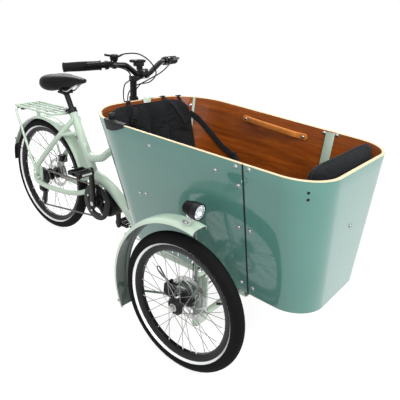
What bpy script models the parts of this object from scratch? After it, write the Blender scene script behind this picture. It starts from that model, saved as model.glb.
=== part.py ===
"""Front-loading electric cargo tricycle with a bent plywood box between two steered front wheels.

Metres, +X forward, +Y to the rider's left, +Z up. Places along X are measured from the front axle while
the pieces are made; the last step moves everything so that the origin is on the ground under the middle.
"""

import math

import bmesh
import bpy
from mathutils import Matrix, Vector

# Overall layout
FRONT_AXLE_TO_ORIGIN = 0.6024
TRACK = 0.750
WHEELBASE = 1.284
FRONT_WHEEL_R = 0.253
REAR_WHEEL_R = 0.305
GAP = 0.0003

# Box: outlines of the rim and of the bottom edge, seen from above
BOX_WALL = 0.012
BOX_SEAM_X = 0.155
BOX_BOTTOM_Z = 0.275
BOX_SEAM_RIM_Z = 0.759
BOX_RIM_SLOPE = 0.064
REAR_SEAM_TURN = math.radians(40)
RIM_OUTLINE = dict(front=0.400, rear=-0.590, half=0.305, flare=0.044, front_r=0.136, rear_r=0.212)
FLOOR_OUTLINE = dict(front=0.381, rear=-0.495, half=0.208, flare=-0.070, front_r=0.110, rear_r=0.100)
FLOOR_Z = (0.286, 0.298)
BENCHES = (("rear_bench", -0.235, 0.452, -1), ("front_bench", 0.120, 0.540, 1))
BENCH_BOARD = 0.012
GROOVE_DEPTH = 0.003
GROOVE_ROOM = 0.0005

# Frame
STEER_X = -0.620
SEAT_TUBE_TOP = Vector((-1.050, 0, 0.678))
SEAT_TUBE_FOOT = Vector((-0.886, 0, 0.362))
SEAT_TUBE_R = 0.021
MAIN_TUBE_R = 0.026
CRANK_X = -0.830
CRANK_Z = 0.285
REAR_AXLE = Vector((-WHEELBASE, 0, REAR_WHEEL_R))
STAY_Y = 0.068
BEAM_Z = 0.140

# Wheels
SPOKES = 28
FRONT_SEGMENTS = 28
REAR_SEGMENTS = 32

# Steering linkage
KINGPIN_Y = 0.290
ARM = 0.060
LINK_Z = 0.1865
TIE_Z = 0.1975

# Drive
PITCH = 0.0127
RING_TEETH = 40
SPROCKET_TEETH = 20
ROLLER_ROOM = 0.0046
CHAIN_Y = -0.048
CRANK_LENGTH = 0.170

TAU = 2 * math.pi
COLOURS = dict(
    mint_paint=((0.50, 0.62, 0.54), 0.28, 0.1),
    mint_panel=((0.20, 0.42, 0.35), 0.25, 0.0),
    plywood=((0.45, 0.16, 0.04), 0.5, 0.0),
    black_metal=((0.012, 0.012, 0.013), 0.38, 0.6),
    black_plastic=((0.015, 0.015, 0.016), 0.5, 0.0),
    rubber=((0.012, 0.012, 0.012), 0.8, 0.0),
    steel=((0.55, 0.55, 0.54), 0.3, 1.0),
    fabric=((0.012, 0.012, 0.014), 0.9, 0.0),
    leather=((0.40, 0.14, 0.03), 0.5, 0.0),
    saddle=((0.012, 0.012, 0.012), 0.55, 0.0),
    red_lens=((0.30, 0.01, 0.01), 0.2, 0.0),
)


# Scene and mesh helpers
def clear_scene():
    for obj in list(bpy.data.objects):
        bpy.data.objects.remove(obj, do_unlink=True)


def material(name):
    found = bpy.data.materials.get(name)
    if found:
        return found
    made = bpy.data.materials.new(name)
    made.use_nodes = True
    colour, roughness, metallic = COLOURS[name]
    shader = made.node_tree.nodes["Principled BSDF"]
    shader.inputs["Base Color"].default_value = (*colour, 1)
    shader.inputs["Roughness"].default_value = roughness
    shader.inputs["Metallic"].default_value = metallic
    made.diffuse_color = (*colour, 1)
    return made


def node(name, mesh, finish, pivot=(0, 0, 0)):
    """One sub-part, with its origin at the pivot and its finish."""
    pivot = Vector(pivot)
    mesh.transform(Matrix.Translation(-pivot))
    mesh.materials.clear()
    mesh.materials.append(material(finish))
    mesh.shade_smooth()
    mesh.set_sharp_from_angle(angle=math.radians(35))
    mesh.name = name
    obj = bpy.data.objects.new(name, mesh)
    obj.location = pivot
    bpy.context.scene.collection.objects.link(obj)
    return obj


def finished(bm, merge=1e-6):
    """The mesh of a bmesh, with doubled points merged and its faces pointing out."""
    bmesh.ops.remove_doubles(bm, verts=bm.verts, dist=merge)
    bmesh.ops.recalc_face_normals(bm, faces=bm.faces)
    mesh = bpy.data.meshes.new("shape")
    bm.to_mesh(mesh)
    bm.free()
    return mesh


def combined(mesh, other, operation="UNION"):
    """The mesh after a Boolean with the other one, which is used up."""
    base = bpy.data.objects.new("base", mesh)
    tool = bpy.data.objects.new("tool", other)
    for obj in (base, tool):
        bpy.context.scene.collection.objects.link(obj)
    modifier = base.modifiers.new("combine", "BOOLEAN")
    modifier.operation = operation
    modifier.solver = "EXACT"
    modifier.object = tool
    bpy.context.view_layer.update()
    graph = bpy.context.evaluated_depsgraph_get()
    result = bpy.data.meshes.new_from_object(base.evaluated_get(graph))
    for obj in (base, tool):
        bpy.data.objects.remove(obj, do_unlink=True)
    return result


def fused(*meshes):
    whole = meshes[0]
    for mesh in meshes[1:]:
        whole = combined(whole, mesh)
    return whole


def cut(mesh, *cutters):
    for cutter in cutters:
        mesh = combined(mesh, cutter, "DIFFERENCE")
    return mesh


def joined(meshes):
    """Several separate shapes in one mesh, for use as one Boolean operand."""
    bm = bmesh.new()
    for mesh in meshes:
        bm.from_mesh(mesh)
    return finished(bm, 1e-7)


def mirrored(mesh):
    """The mesh reflected in the centre plane."""
    copy = mesh.copy()
    copy.transform(Matrix.Scale(-1, 4, (0, 1, 0)))
    copy.flip_normals()
    return copy


def aimed(mesh, axis, centre=(0, 0, 0)):
    """The mesh with its own +Z turned to the axis and its origin moved to the centre."""
    turn = Vector((0, 0, 1)).rotation_difference(Vector(axis)).to_matrix().to_4x4()
    mesh.transform(Matrix.Translation(Vector(centre)) @ turn)
    return mesh


def turned(profile, segments, axis=(0, 0, 1), centre=(0, 0, 0), ring=False):
    """A solid of revolution of (radius, height) points. A ring's profile is a closed loop off the axis."""
    bm = bmesh.new()
    verts = [bm.verts.new((radius, 0, height)) for radius, height in profile]
    pairs = list(zip(verts, verts[1:]))
    if ring:
        pairs.append((verts[-1], verts[0]))
    edges = [bm.edges.new(pair) for pair in pairs]
    bmesh.ops.spin(bm, geom=verts + edges, axis=(0, 0, 1), angle=TAU, steps=segments)
    return aimed(finished(bm), axis, centre)


def rod(start, end, radius, sides=12):
    start, end = Vector(start), Vector(end)
    length = (end - start).length
    profile = [(0, 0), (radius, 0), (radius, length), (0, length)]
    return turned(profile, sides, end - start, start)


def pipe_ring(start, end, outer, inner, sides=16):
    """A plain sleeve between two points."""
    start, end = Vector(start), Vector(end)
    length = (end - start).length
    profile = [(inner, 0), (outer, 0), (outer, length), (inner, length)]
    return turned(profile, sides, end - start, start, ring=True)


def prism(outline, low, high, plane="XZ"):
    """An outline in one plane, extruded across it from low to high."""
    bm = bmesh.new()
    place = {
        "XZ": lambda a, b, depth: (a, depth, b),
        "XY": lambda a, b, depth: (a, b, depth),
        "YZ": lambda a, b, depth: (depth, a, b),
    }[plane]
    face = bm.faces.new([bm.verts.new(place(a, b, low)) for a, b in outline])
    lifted = bmesh.ops.extrude_face_region(bm, geom=[face])["geom"]
    moved = [item for item in lifted if isinstance(item, bmesh.types.BMVert)]
    across = Vector(place(0, 0, high)) - Vector(place(0, 0, low))
    bmesh.ops.translate(bm, verts=moved, vec=across)
    return finished(bm)


def block(low, high, bevel=0.0, segments=1):
    """A box between two corners, with bevelled edges where a width is given."""
    low, high = Vector(low), Vector(high)
    bm = bmesh.new()
    bmesh.ops.create_cube(bm, size=1)
    bmesh.ops.scale(bm, verts=bm.verts, vec=high - low)
    bmesh.ops.translate(bm, verts=bm.verts, vec=(low + high) / 2)
    if bevel:
        bmesh.ops.bevel(bm, geom=bm.edges[:], offset=bevel, segments=segments, affect="EDGES", profile=0.5)
    return finished(bm)


def bent(points, bend=0.03, steps=3):
    """A run of straight lengths whose corners are rounded as a bent tube's are."""
    points = [Vector(point) for point in points]
    path = [points[0]]
    for before, corner, after in zip(points, points[1:], points[2:]):
        back, ahead = before - corner, after - corner
        angle = math.pi - back.angle(ahead)
        if angle < math.radians(4):
            path.append(corner)
            continue
        reach = min(bend * math.tan(angle / 2), 0.46 * back.length, 0.46 * ahead.length)
        start = corner + back.normalized() * reach
        end = corner + ahead.normalized() * reach
        for step in range(steps + 1):
            t = step / steps
            path.append(start * (1 - t) ** 2 + corner * 2 * t * (1 - t) + end * t**2)
    path.append(points[-1])
    return path


def flowing(points, step):
    """Points about a step apart along a smooth curve through the given ones."""
    points = [Vector(point) for point in points]
    padded = [points[0] * 2 - points[1]] + points + [points[-1] * 2 - points[-2]]
    path = []
    for a, b, c, d in zip(padded, padded[1:], padded[2:], padded[3:]):
        count = max(round((c - b).length / step), 1)
        for k in range(count):
            t = k / count
            path.append(
                0.5 * (2 * b + (c - a) * t + (2 * a - 5 * b + 4 * c - d) * t**2 + (3 * b - a - 3 * c + d) * t**3)
            )
    path.append(points[-1])
    return path


def tube(path, radius, sides=8, closed=False, widths=None):
    """A round tube along a path, made from a curve with a bevel and filled caps."""
    curve = bpy.data.curves.new("path", "CURVE")
    curve.dimensions = "3D"
    spline = curve.splines.new("POLY")
    spline.points.add(len(path) - 1)
    for index, (point, place) in enumerate(zip(spline.points, path)):
        point.co = (*place, 1)
        point.radius = widths[index] if widths else 1
    spline.use_cyclic_u = closed
    curve.bevel_depth = radius
    curve.bevel_resolution = (sides - 4) // 2
    curve.use_fill_caps = True
    obj = bpy.data.objects.new("path", curve)
    bpy.context.scene.collection.objects.link(obj)
    bpy.context.view_layer.update()
    graph = bpy.context.evaluated_depsgraph_get()
    mesh = bpy.data.meshes.new_from_object(obj.evaluated_get(graph))
    bpy.data.objects.remove(obj, do_unlink=True)
    bm = bmesh.new()
    bm.from_mesh(mesh)
    return finished(bm, 1e-5)


def lofted(rings):
    """A solid through rings of equal point counts, closed by a face at each end."""
    bm = bmesh.new()
    rows = [[bm.verts.new(place) for place in ring] for ring in rings]
    for row, following in zip(rows, rows[1:]):
        for a, b, c, d in zip(row, row[1:] + row[:1], following[1:] + following[:1], following):
            bm.faces.new((a, b, c, d))
    bm.faces.new(rows[0])
    bm.faces.new(rows[-1])
    bmesh.ops.triangulate(bm, faces=bm.faces, quad_method="SHORT_EDGE")
    return finished(bm)


def arc(centre, radius, start, end, count):
    """Points on a circle arc, angles in degrees."""
    for k in range(count + 1):
        angle = math.radians(start + (end - start) * k / count)
        yield centre[0] + radius * math.cos(angle), centre[1] + radius * math.sin(angle)


def hull_of_circles(first, first_r, second, second_r, count=9):
    """The outline of a plate with two round ends."""
    first, second = Vector(first), Vector(second)
    along = second - first
    facing = math.degrees(math.atan2(along.y, along.x))
    lean = math.degrees(math.asin((first_r - second_r) / along.length))
    tail = list(arc(first, first_r, facing + 90 - lean, facing + 270 + lean, count))
    head = list(arc(second, second_r, facing - 90 + lean, facing + 90 - lean, count))
    return tail + head


def pillow(half, profile=0.55, outline=0.3, rings=8, around=28, channels=0, depth=0.12):
    """A stuffed pad: a superellipsoid whose edge is drawn in, with sewn channels across its length."""

    def power(value, exponent):
        return math.copysign(abs(value) ** exponent, value)

    bm = bmesh.new()
    rows = []
    for i in range(1, rings):
        lift = -math.pi / 2 + math.pi * i / rings
        row = []
        for j in range(around):
            turn = TAU * j / around
            x = power(math.cos(lift), profile) * power(math.cos(turn), outline)
            y = power(math.cos(lift), profile) * power(math.sin(turn), outline)
            z = power(math.sin(lift), profile)
            if channels:
                z *= 1 - depth * abs(math.cos(math.pi * channels * (y + 1) / 2)) ** 4
            row.append(bm.verts.new((half[0] * x, half[1] * y, half[2] * z)))
        rows.append(row)
    for row, following in zip(rows, rows[1:]):
        for a, b, c, d in zip(row, row[1:] + row[:1], following[1:] + following[:1], following):
            bm.faces.new((a, b, c, d))
    for row, height in ((rows[0], -half[2]), (rows[-1], half[2])):
        pole = bm.verts.new((0, 0, height))
        for a, b in zip(row, row[1:] + row[:1]):
            bm.faces.new((a, b, pole))
    return finished(bm)


# Box
def rim_z(x):
    return BOX_SEAM_RIM_Z + BOX_RIM_SLOPE * (BOX_SEAM_X - x)


def half_width(outline, x):
    return outline["half"] + outline["flare"] * (BOX_SEAM_X - x)


def inset(outline, by):
    """The outline drawn in all round."""
    return dict(
        front=outline["front"] - by,
        rear=outline["rear"] + by,
        half=outline["half"] - by,
        flare=outline["flare"],
        front_r=outline["front_r"] - by,
        rear_r=outline["rear_r"] - by,
    )


def blended(low, high, share):
    return {key: low[key] + (high[key] - low[key]) * share for key in low}


def half_stations(outline, steps=5, side_steps=5):
    """Plan points from the middle of the front to the middle of the rear, on the left side.

    Each is a name and a point, and every outline gives the same names in the same order."""
    front, rear = outline["front"], outline["rear"]
    front_r, rear_r = outline["front_r"], outline["rear_r"]
    wide = half_width(outline, front - front_r)
    wide_rear = half_width(outline, rear + rear_r)
    yield "front", (front, 0)
    for k in range(steps + 1):
        turn = math.pi / 2 * k / steps
        place = front - front_r + front_r * math.cos(turn), wide - front_r + front_r * math.sin(turn)
        yield ("front corner", k), place
    for k in range(side_steps):
        x = BOX_SEAM_X + (rear + rear_r - BOX_SEAM_X) * k / side_steps
        yield ("side", k), (x, half_width(outline, x))
    for k in range(steps + 1):
        turn = math.pi / 2 * k / steps
        place = rear + rear_r - rear_r * math.sin(turn), wide_rear - rear_r + rear_r * math.cos(turn)
        yield ("rear corner", k), place
    yield "rear", (rear, 0)


def rear_seam(outline):
    turn = REAR_SEAM_TURN
    rear, rear_r = outline["rear"], outline["rear_r"]
    wide = half_width(outline, rear + rear_r)
    return rear + rear_r - rear_r * math.sin(turn), wide - rear_r + rear_r * math.cos(turn)


def wall_columns(pick, seam_shift=0.0, rear_shift=0.0):
    """The wall's section at each station that is picked: outer face from rim to foot, inner face back up."""
    outlines = [RIM_OUTLINE, FLOOR_OUTLINE, inset(FLOOR_OUTLINE, BOX_WALL), inset(RIM_OUTLINE, BOX_WALL)]
    tables = [dict(half_stations(outline)) for outline in outlines]
    for table, outline in zip(tables, outlines):
        table["rear seam"] = rear_seam(outline)
    columns = []
    for name in pick:
        corners = []
        for index, table in enumerate(tables):
            x, y = table[name]
            if name == ("side", 0):
                x += seam_shift
            if name == "rear seam":
                x, y = x + rear_shift, y + rear_shift
            z = rim_z(x) if index in (0, 3) else BOX_BOTTOM_Z
            corners.append(Vector((x, y, z)))
        rim, foot, inner_foot, inner_rim = corners
        columns.append([rim, (rim + foot) / 2, foot, inner_foot, (inner_foot + inner_rim) / 2, inner_rim])
    return columns


def flipped(columns):
    return [[Vector((p.x, -p.y, p.z)) for p in column] for column in columns]


def front_panel_columns():
    names = [("side", 0)] + [("front corner", k) for k in range(5, -1, -1)]
    left = wall_columns(names, seam_shift=0.0015)
    return left + flipped(left)[::-1]


def side_panel_columns():
    names = [("side", k) for k in range(5)] + [("rear corner", k) for k in range(3)] + ["rear seam"]
    return wall_columns(names, seam_shift=-0.0015)


def rear_panel_columns():
    names = ["rear seam"] + [("rear corner", k) for k in range(3, 6)]
    left = wall_columns(names, rear_shift=-0.0006)
    return left + flipped(left)[::-1]


def wall_stations(margin, z):
    """Plan points of the walls' inner faces at one height, kept off them by a margin."""
    rim = half_stations(inset(RIM_OUTLINE, BOX_WALL + margin))
    foot = half_stations(inset(FLOOR_OUTLINE, BOX_WALL + margin))
    for (name, high), (_, low) in zip(rim, foot):
        share = (z - BOX_BOTTOM_Z) / (rim_z(high[0]) - BOX_BOTTOM_Z)
        yield name, (low[0] + (high[0] - low[0]) * share, low[1] + (high[1] - low[1]) * share)


def wall_x(y, z, margin):
    """Where the rear wall's inner face, kept off by a margin, stands at this width and height."""
    places = [place for name, place in wall_stations(margin, z) if name == "rear" or name[0] == "rear corner"]
    for (x_out, y_out), (x_in, y_in) in zip(places, places[1:]):
        if y_in <= abs(y) <= y_out:
            return x_in + (x_out - x_in) * (abs(y) - y_in) / max(y_out - y_in, 1e-6)
    return places[0][0]


def inner_space(margin, low, high):
    """The room inside the walls between two heights, kept off them by a margin."""
    rings = []
    for z in (low, high):
        left = [place for name, place in wall_stations(margin, z) if name not in ("front", "rear")]
        rings.append([(x, y, z) for x, y in left] + [(x, -y, z) for x, y in left[::-1]])
    return lofted(rings)


def box_pieces():
    node("box_front_panel", lofted(front_panel_columns()), "mint_panel")
    side = lofted(side_panel_columns())
    node("box_side_panel_right", mirrored(side), "mint_panel")
    node("box_side_panel_left", side, "mint_panel")
    node("box_rear_panel", lofted(rear_panel_columns()), "mint_panel")
    plan = [place for name, place in wall_stations(0.0006, FLOOR_Z[0]) if name not in ("front", "rear")]
    outline = plan + [(x, -y) for x, y in plan[::-1]]
    floor = prism(outline, *FLOOR_Z, plane="XY")
    for _, face_x, _, into in BENCHES:
        low, high = sorted((face_x - into * GROOVE_ROOM, face_x + into * (BENCH_BOARD + GROOVE_ROOM)))
        floor = cut(floor, block((low, -0.5, FLOOR_Z[1] - GROOVE_DEPTH), (high, 0.5, FLOOR_Z[1] + 0.01)))
    node("box_floor", floor, "plywood")


def seam_strips():
    """The painted metal strips that hold the front and side panels together on the inside."""
    strip_half, strip_thick, wall_gap = 0.018, 0.0028, 0.0013
    rim = inset(RIM_OUTLINE, BOX_WALL)
    foot = inset(FLOOR_OUTLINE, BOX_WALL)
    rings = []
    for z in (rim_z(BOX_SEAM_X) - 0.004, FLOOR_Z[1] + 0.002):
        share = (z - BOX_BOTTOM_Z) / (rim_z(BOX_SEAM_X) - BOX_BOTTOM_Z)
        ring = []
        for dx, dy in ((-1, 0), (1, 0), (1, -1), (-1, -1)):
            x = BOX_SEAM_X + dx * strip_half
            y = half_width(foot, x) * (1 - share) + half_width(rim, x) * share
            ring.append((x, y - wall_gap + dy * strip_thick, z))
        rings.append(ring)
    left = lofted(rings)
    node("seam_strip_right", mirrored(left), "mint_paint")
    node("seam_strip_left", left, "mint_paint")


def wall_handles():
    """A leather-covered grab bar inside each side wall, bolted at both ends."""
    ends = (-0.234, 0.047)
    stand_off = 0.020
    bar_half_z, bar_half_y = 0.011, 0.0045

    def wall_y(x, z):
        share = (z - BOX_BOTTOM_Z) / (rim_z(x) - BOX_BOTTOM_Z)
        plan = inset(blended(FLOOR_OUTLINE, RIM_OUTLINE, share), BOX_WALL)
        return half_width(plan, x)

    rings = []
    for x, away in ((-0.252, 0), (-0.218, 0), (-0.195, 1), (-0.094, 1), (0.008, 1), (0.031, 0), (0.065, 0)):
        z = 0.742 - 0.025 * (x - ends[0]) / (ends[1] - ends[0])
        y = wall_y(x, z + bar_half_z) - 0.003 - bar_half_y - stand_off * away
        lean = (wall_y(x, z + bar_half_z) - wall_y(x, z - bar_half_z)) / 2
        ring = []
        for sy, sz in ((1, 1), (-1, 1), (-1, -1), (1, -1)):
            ring.append((x, y + sy * bar_half_y + sz * lean - lean, z + sz * bar_half_z))
        rings.append(ring)
    left = lofted(rings)
    node("wall_handle_right", mirrored(left), "leather")
    node("wall_handle_left", left, "leather")


def benches():
    """Two plywood benches that follow the walls, each a seat board on an upright that stands in a floor groove."""
    for name, face_x, top, into in BENCHES:
        space = inner_space(0.0052, FLOOR_Z[1] - GROOVE_DEPTH + GAP, top)
        low, high = sorted((face_x, face_x + into * 0.6))
        seat = block((low, -0.5, top - BENCH_BOARD), (high, 0.5, top + 0.01))
        low, high = sorted((face_x, face_x + into * BENCH_BOARD))
        upright = block((low, -0.5, 0.2), (high, 0.5, top - 0.001))
        solid = combined(space, combined(seat, upright), "INTERSECT")
        node(name, solid, "plywood")


def cushions():
    rear_seat = pillow((0.112, 0.166, 0.026), rings=6, around=24, channels=2)
    rear_seat.transform(Matrix.Translation((-0.350, 0, 0.4795)))
    node("rear_seat_cushion", rear_seat, "fabric")
    backrest = pillow((0.140, 0.196, 0.027), rings=6, around=24, channels=3)
    for vertex in backrest.vertices:
        height, across, thick = vertex.co
        z = 0.648 + height
        vertex.co = (wall_x(across, z, 0.0015) + 0.027 - thick, across, z)
    node("rear_backrest", backrest, "fabric")
    front_seat = pillow((0.112, 0.186, 0.024), rings=6, around=24, channels=2)
    front_seat.transform(Matrix.Translation((0.208, 0, 0.5655)))
    node("front_seat_cushion", front_seat, "fabric")
    roll = pillow((0.030, 0.206, 0.064), profile=0.7, outline=0.35, rings=6, around=18)
    roll.transform(Matrix.Translation((0.335, 0, 0.700)))
    node("front_backrest", roll, "fabric")


# Frame
def main_frame():
    seat_tube = rod(SEAT_TUBE_FOOT, SEAT_TUBE_TOP, SEAT_TUBE_R, 12)
    down_path = bent(
        [
            (-0.925, 0, 0.400),
            (-0.835, 0, 0.378),
            (-0.770, 0, 0.350),
            (-0.690, 0, 0.292),
            (-0.560, 0, 0.175),
            (-0.500, 0, BEAM_Z),
            (0.012, 0, BEAM_Z),
        ],
        0.12,
        2,
    )
    down_tube = tube(down_path, MAIN_TUBE_R, 10)
    swan_path = bent(
        [(-0.955, 0, 0.485), (-0.905, 0, 0.478), (-0.845, 0, 0.492), (-0.765, 0, 0.552), (STEER_X, 0, 0.640)], 0.08, 2
    )
    swan_tube = tube(swan_path, 0.019, 10)
    head_tube = rod((STEER_X, 0, 0.200), (STEER_X, 0, 0.700), 0.022, 15)
    stay_bridge = rod((-0.906, -0.034, 0.322), (-0.906, 0.034, 0.322), 0.017, 12)
    motor_web = prism(
        [(-0.925, 0.400), (-0.905, 0.318), (-0.893, 0.333), (-0.868, 0.352), (-0.850, 0.375)], -0.014, 0.014
    )
    tie_arm = tube(
        bent(
            [
                (STEER_X, 0.0185, 0.687),
                (-0.612, 0.050, 0.696),
                (-0.6045, 0.050, 0.790),
                (-0.6000, 0.050, 0.826),
                (-0.5765, 0.050, 0.828),
                (-0.5680, 0.050, 0.790),
            ],
            0.012,
            1,
        ),
        0.0065,
        6,
    )
    frame = fused(seat_tube, down_tube, swan_tube, head_tube, stay_bridge, motor_web, tie_arm)
    post_axis = (SEAT_TUBE_TOP - SEAT_TUBE_FOOT).normalized()
    post_bore = rod(SEAT_TUBE_TOP - post_axis * 0.22, SEAT_TUBE_TOP + post_axis * 0.02, 0.0142, 12)
    steer_bore = rod((STEER_X, 0, 0.150), (STEER_X, 0, 0.750), 0.0153, 16)
    frame = cut(frame, post_bore, steer_bore)
    node("main_frame", frame, "mint_paint")


def rear_stays():
    """One tube a side, bent from the seat tube round the axle and back to the bracket behind the motor."""
    for side, name in ((1, "rear_stay_left"), (-1, "rear_stay_right")):
        y = STAY_Y * side
        path = bent(
            [
                (-0.985, 0.015 * side, 0.628),
                (-1.060, y, 0.587),
                (-1.362, y, 0.279),
                (-1.075, y, 0.279),
                (-0.906, 0.030 * side, 0.318),
            ],
            0.038,
            3,
        )
        stay = tube(path, 0.0115, 8)
        plate_outline = [(-1.318, 0.318), (-1.300, 0.335), (-1.262, 0.368), (-1.235, 0.335), (-1.225, 0.290),
                         (-1.300, 0.290)]
        plate = prism(plate_outline, y - 0.0035, y + 0.0035)
        stay = fused(stay, plate)
        axle_hole = rod((REAR_AXLE.x, y - 0.03, REAR_AXLE.z), (REAR_AXLE.x, y + 0.03, REAR_AXLE.z), 0.0057, 8)
        seat_tube_room = rod(SEAT_TUBE_FOOT, SEAT_TUBE_TOP, SEAT_TUBE_R + GAP, 12)
        bridge_room = rod((-0.906, -0.2, 0.322), (-0.906, 0.2, 0.322), 0.017 + GAP, 12)
        stay = cut(stay, axle_hole, seat_tube_room, bridge_room)
        if side > 0:
            caliper = block((-1.262, 0.040, 0.372), (-1.222, 0.074, 0.412), 0.004)
            slot = block((-1.30, 0.0455, 0.33), (-1.18, 0.0495, 0.405))
            stay = fused(stay, cut(caliper, slot))
        node(name, stay, "mint_paint")


def rear_axle():
    axle = rod((REAR_AXLE.x, -0.084, REAR_AXLE.z), (REAR_AXLE.x, 0.084, REAR_AXLE.z), 0.0050, 8)
    nuts = []
    for side in (1, -1):
        inner, outer = (STAY_Y + 0.0039) * side, 0.0805 * side
        nuts.append(rod((REAR_AXLE.x, inner, REAR_AXLE.z), (REAR_AXLE.x, outer, REAR_AXLE.z), 0.0092, 6))
    node("rear_axle", fused(axle, *nuts), "steel", REAR_AXLE)


def front_crossmember():
    """The low cross tube with a fork for each kingpin, and the two hoops that carry the box floor."""
    beam_room = rod((-0.3, 0, BEAM_Z), (0.1, 0, BEAM_Z), MAIN_TUBE_R + GAP, 12)
    tubes = []
    for side in (1, -1):
        tubes.append(tube([(0, 0.0268 * side, BEAM_Z), (0, 0.250 * side, BEAM_Z)], 0.0125, 8))
        outline = list(arc((-0.012, 0.318), 0.026, 180, 0, 5)) + [(0.014, 0.140), (0.010, 0.118), (-0.030, 0.118),
                                                                  (-0.038, 0.140)]
        plate = prism(outline, min(0.246 * side, 0.254 * side), max(0.246 * side, 0.254 * side))
        lugs = []
        for low, high in ((0.322, 0.340), (0.122, 0.150)):
            lug = prism(hull_of_circles((0, KINGPIN_Y * side), 0.015, (0, 0.250 * side), 0.0152, 3), low, high, "XY")
            lugs.append(lug)
        hoop_path = bent([(0, 0.244 * side, BEAM_Z - 0.002), (0.060, 0.256 * side, BEAM_Z - 0.004), (0.150, 0.205 * side, 0.180),
                          (0.172, 0.190 * side, 0.2705)], 0.03, 1)
        hoop = tube(hoop_path, 0.0055, 6)
        foot = block((0.150, min(0.150 * side, 0.196 * side), 0.268), (0.195, max(0.150 * side, 0.196 * side), 0.2747))
        fork = fused(plate, *lugs, hoop, foot)
        kingpin_room = rod((0, KINGPIN_Y * side, 0.05), (0, KINGPIN_Y * side, 0.45), 0.0070, 8)
        tubes.append(cut(fork, kingpin_room))
    collar = pipe_ring((-0.020, 0, BEAM_Z), (0.030, 0, BEAM_Z), 0.0335, 0.0285, 12)
    whole = fused(collar, *tubes)
    node("front_crossmember", cut(whole, beam_room), "mint_paint")


def motor():
    """The mid motor: a round drum about the crank axle with a lower lobe in front, ribbed round its edge."""
    outline = hull_of_circles((CRANK_X, CRANK_Z), 0.050, (CRANK_X + 0.052, CRANK_Z - 0.022), 0.046, 8)
    body = prism(outline, -0.038, 0.046)
    cover = prism(hull_of_circles((CRANK_X, CRANK_Z), 0.040, (CRANK_X + 0.050, CRANK_Z - 0.020), 0.036, 5), 0.045, 0.056)
    boss = rod((CRANK_X, -0.0425, CRANK_Z), (CRANK_X, -0.037, CRANK_Z), 0.022, 12)
    whole = fused(body, cover, boss)
    bore = rod((CRANK_X, -0.1, CRANK_Z), (CRANK_X, 0.1, CRANK_Z), 0.0116, 12)
    node("motor_housing", cut(whole, bore), "black_metal")


def battery():
    pack = block((-0.395, -0.110, 0.3004), (-0.275, 0.110, 0.385), 0.008)
    node("battery_pack", pack, "black_plastic")


def seat_clamp():
    axis = (SEAT_TUBE_TOP - SEAT_TUBE_FOOT).normalized()
    low = SEAT_TUBE_TOP + axis * GAP
    ring = pipe_ring(low, low + axis * 0.024, 0.0225, 0.0143, 12)
    lug = block((-1.096, -0.022, 0.681), (-1.0748, 0.022, 0.693))
    node("seat_clamp", fused(ring, lug), "black_metal")


# Saddle and post
def saddle_and_post():
    axis = (SEAT_TUBE_TOP - SEAT_TUBE_FOOT).normalized()
    foot = SEAT_TUBE_TOP - axis * 0.16
    head = SEAT_TUBE_TOP + axis * 0.106
    post = rod(foot, head, 0.0136, 12)
    rail_points = []
    for side in (1, -1):
        rail_points.append(
            bent([(-1.190, 0.040 * side, 0.800), (-1.150, 0.022 * side, 0.782), (-1.060, 0.022 * side, 0.782),
                  (-0.985, 0.008 * side, 0.806)], 0.02, 1)
        )
    rails = [tube(path, 0.0036, 4) for path in rail_points]
    clamp = block((-1.128, -0.030, 0.767), (-1.078, 0.030, 0.795))
    node("seatpost", fused(post, clamp, *rails), "black_metal", SEAT_TUBE_TOP)
    rings = []
    sections = (
        (-1.236, 0.062, 0.822, 0.846),
        (-1.222, 0.090, 0.811, 0.855),
        (-1.185, 0.103, 0.805, 0.861),
        (-1.140, 0.094, 0.806, 0.860),
        (-1.095, 0.062, 0.811, 0.857),
        (-1.045, 0.036, 0.816, 0.856),
        (-0.995, 0.025, 0.821, 0.855),
        (-0.962, 0.017, 0.828, 0.850),
    )
    for x, half, low, high in sections:
        ring = []
        for k in range(12):
            turn = TAU * k / 12
            y = half * math.copysign(abs(math.cos(turn)) ** 0.7, math.cos(turn))
            z = (low + high) / 2 + (high - low) / 2 * math.copysign(abs(math.sin(turn)) ** 0.8, math.sin(turn))
            ring.append((x, y, z))
        rings.append(ring)
    node("saddle", cut(lofted(rings), *[tube(path, 0.0040, 6) for path in rail_points]), "saddle", SEAT_TUBE_TOP)


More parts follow.
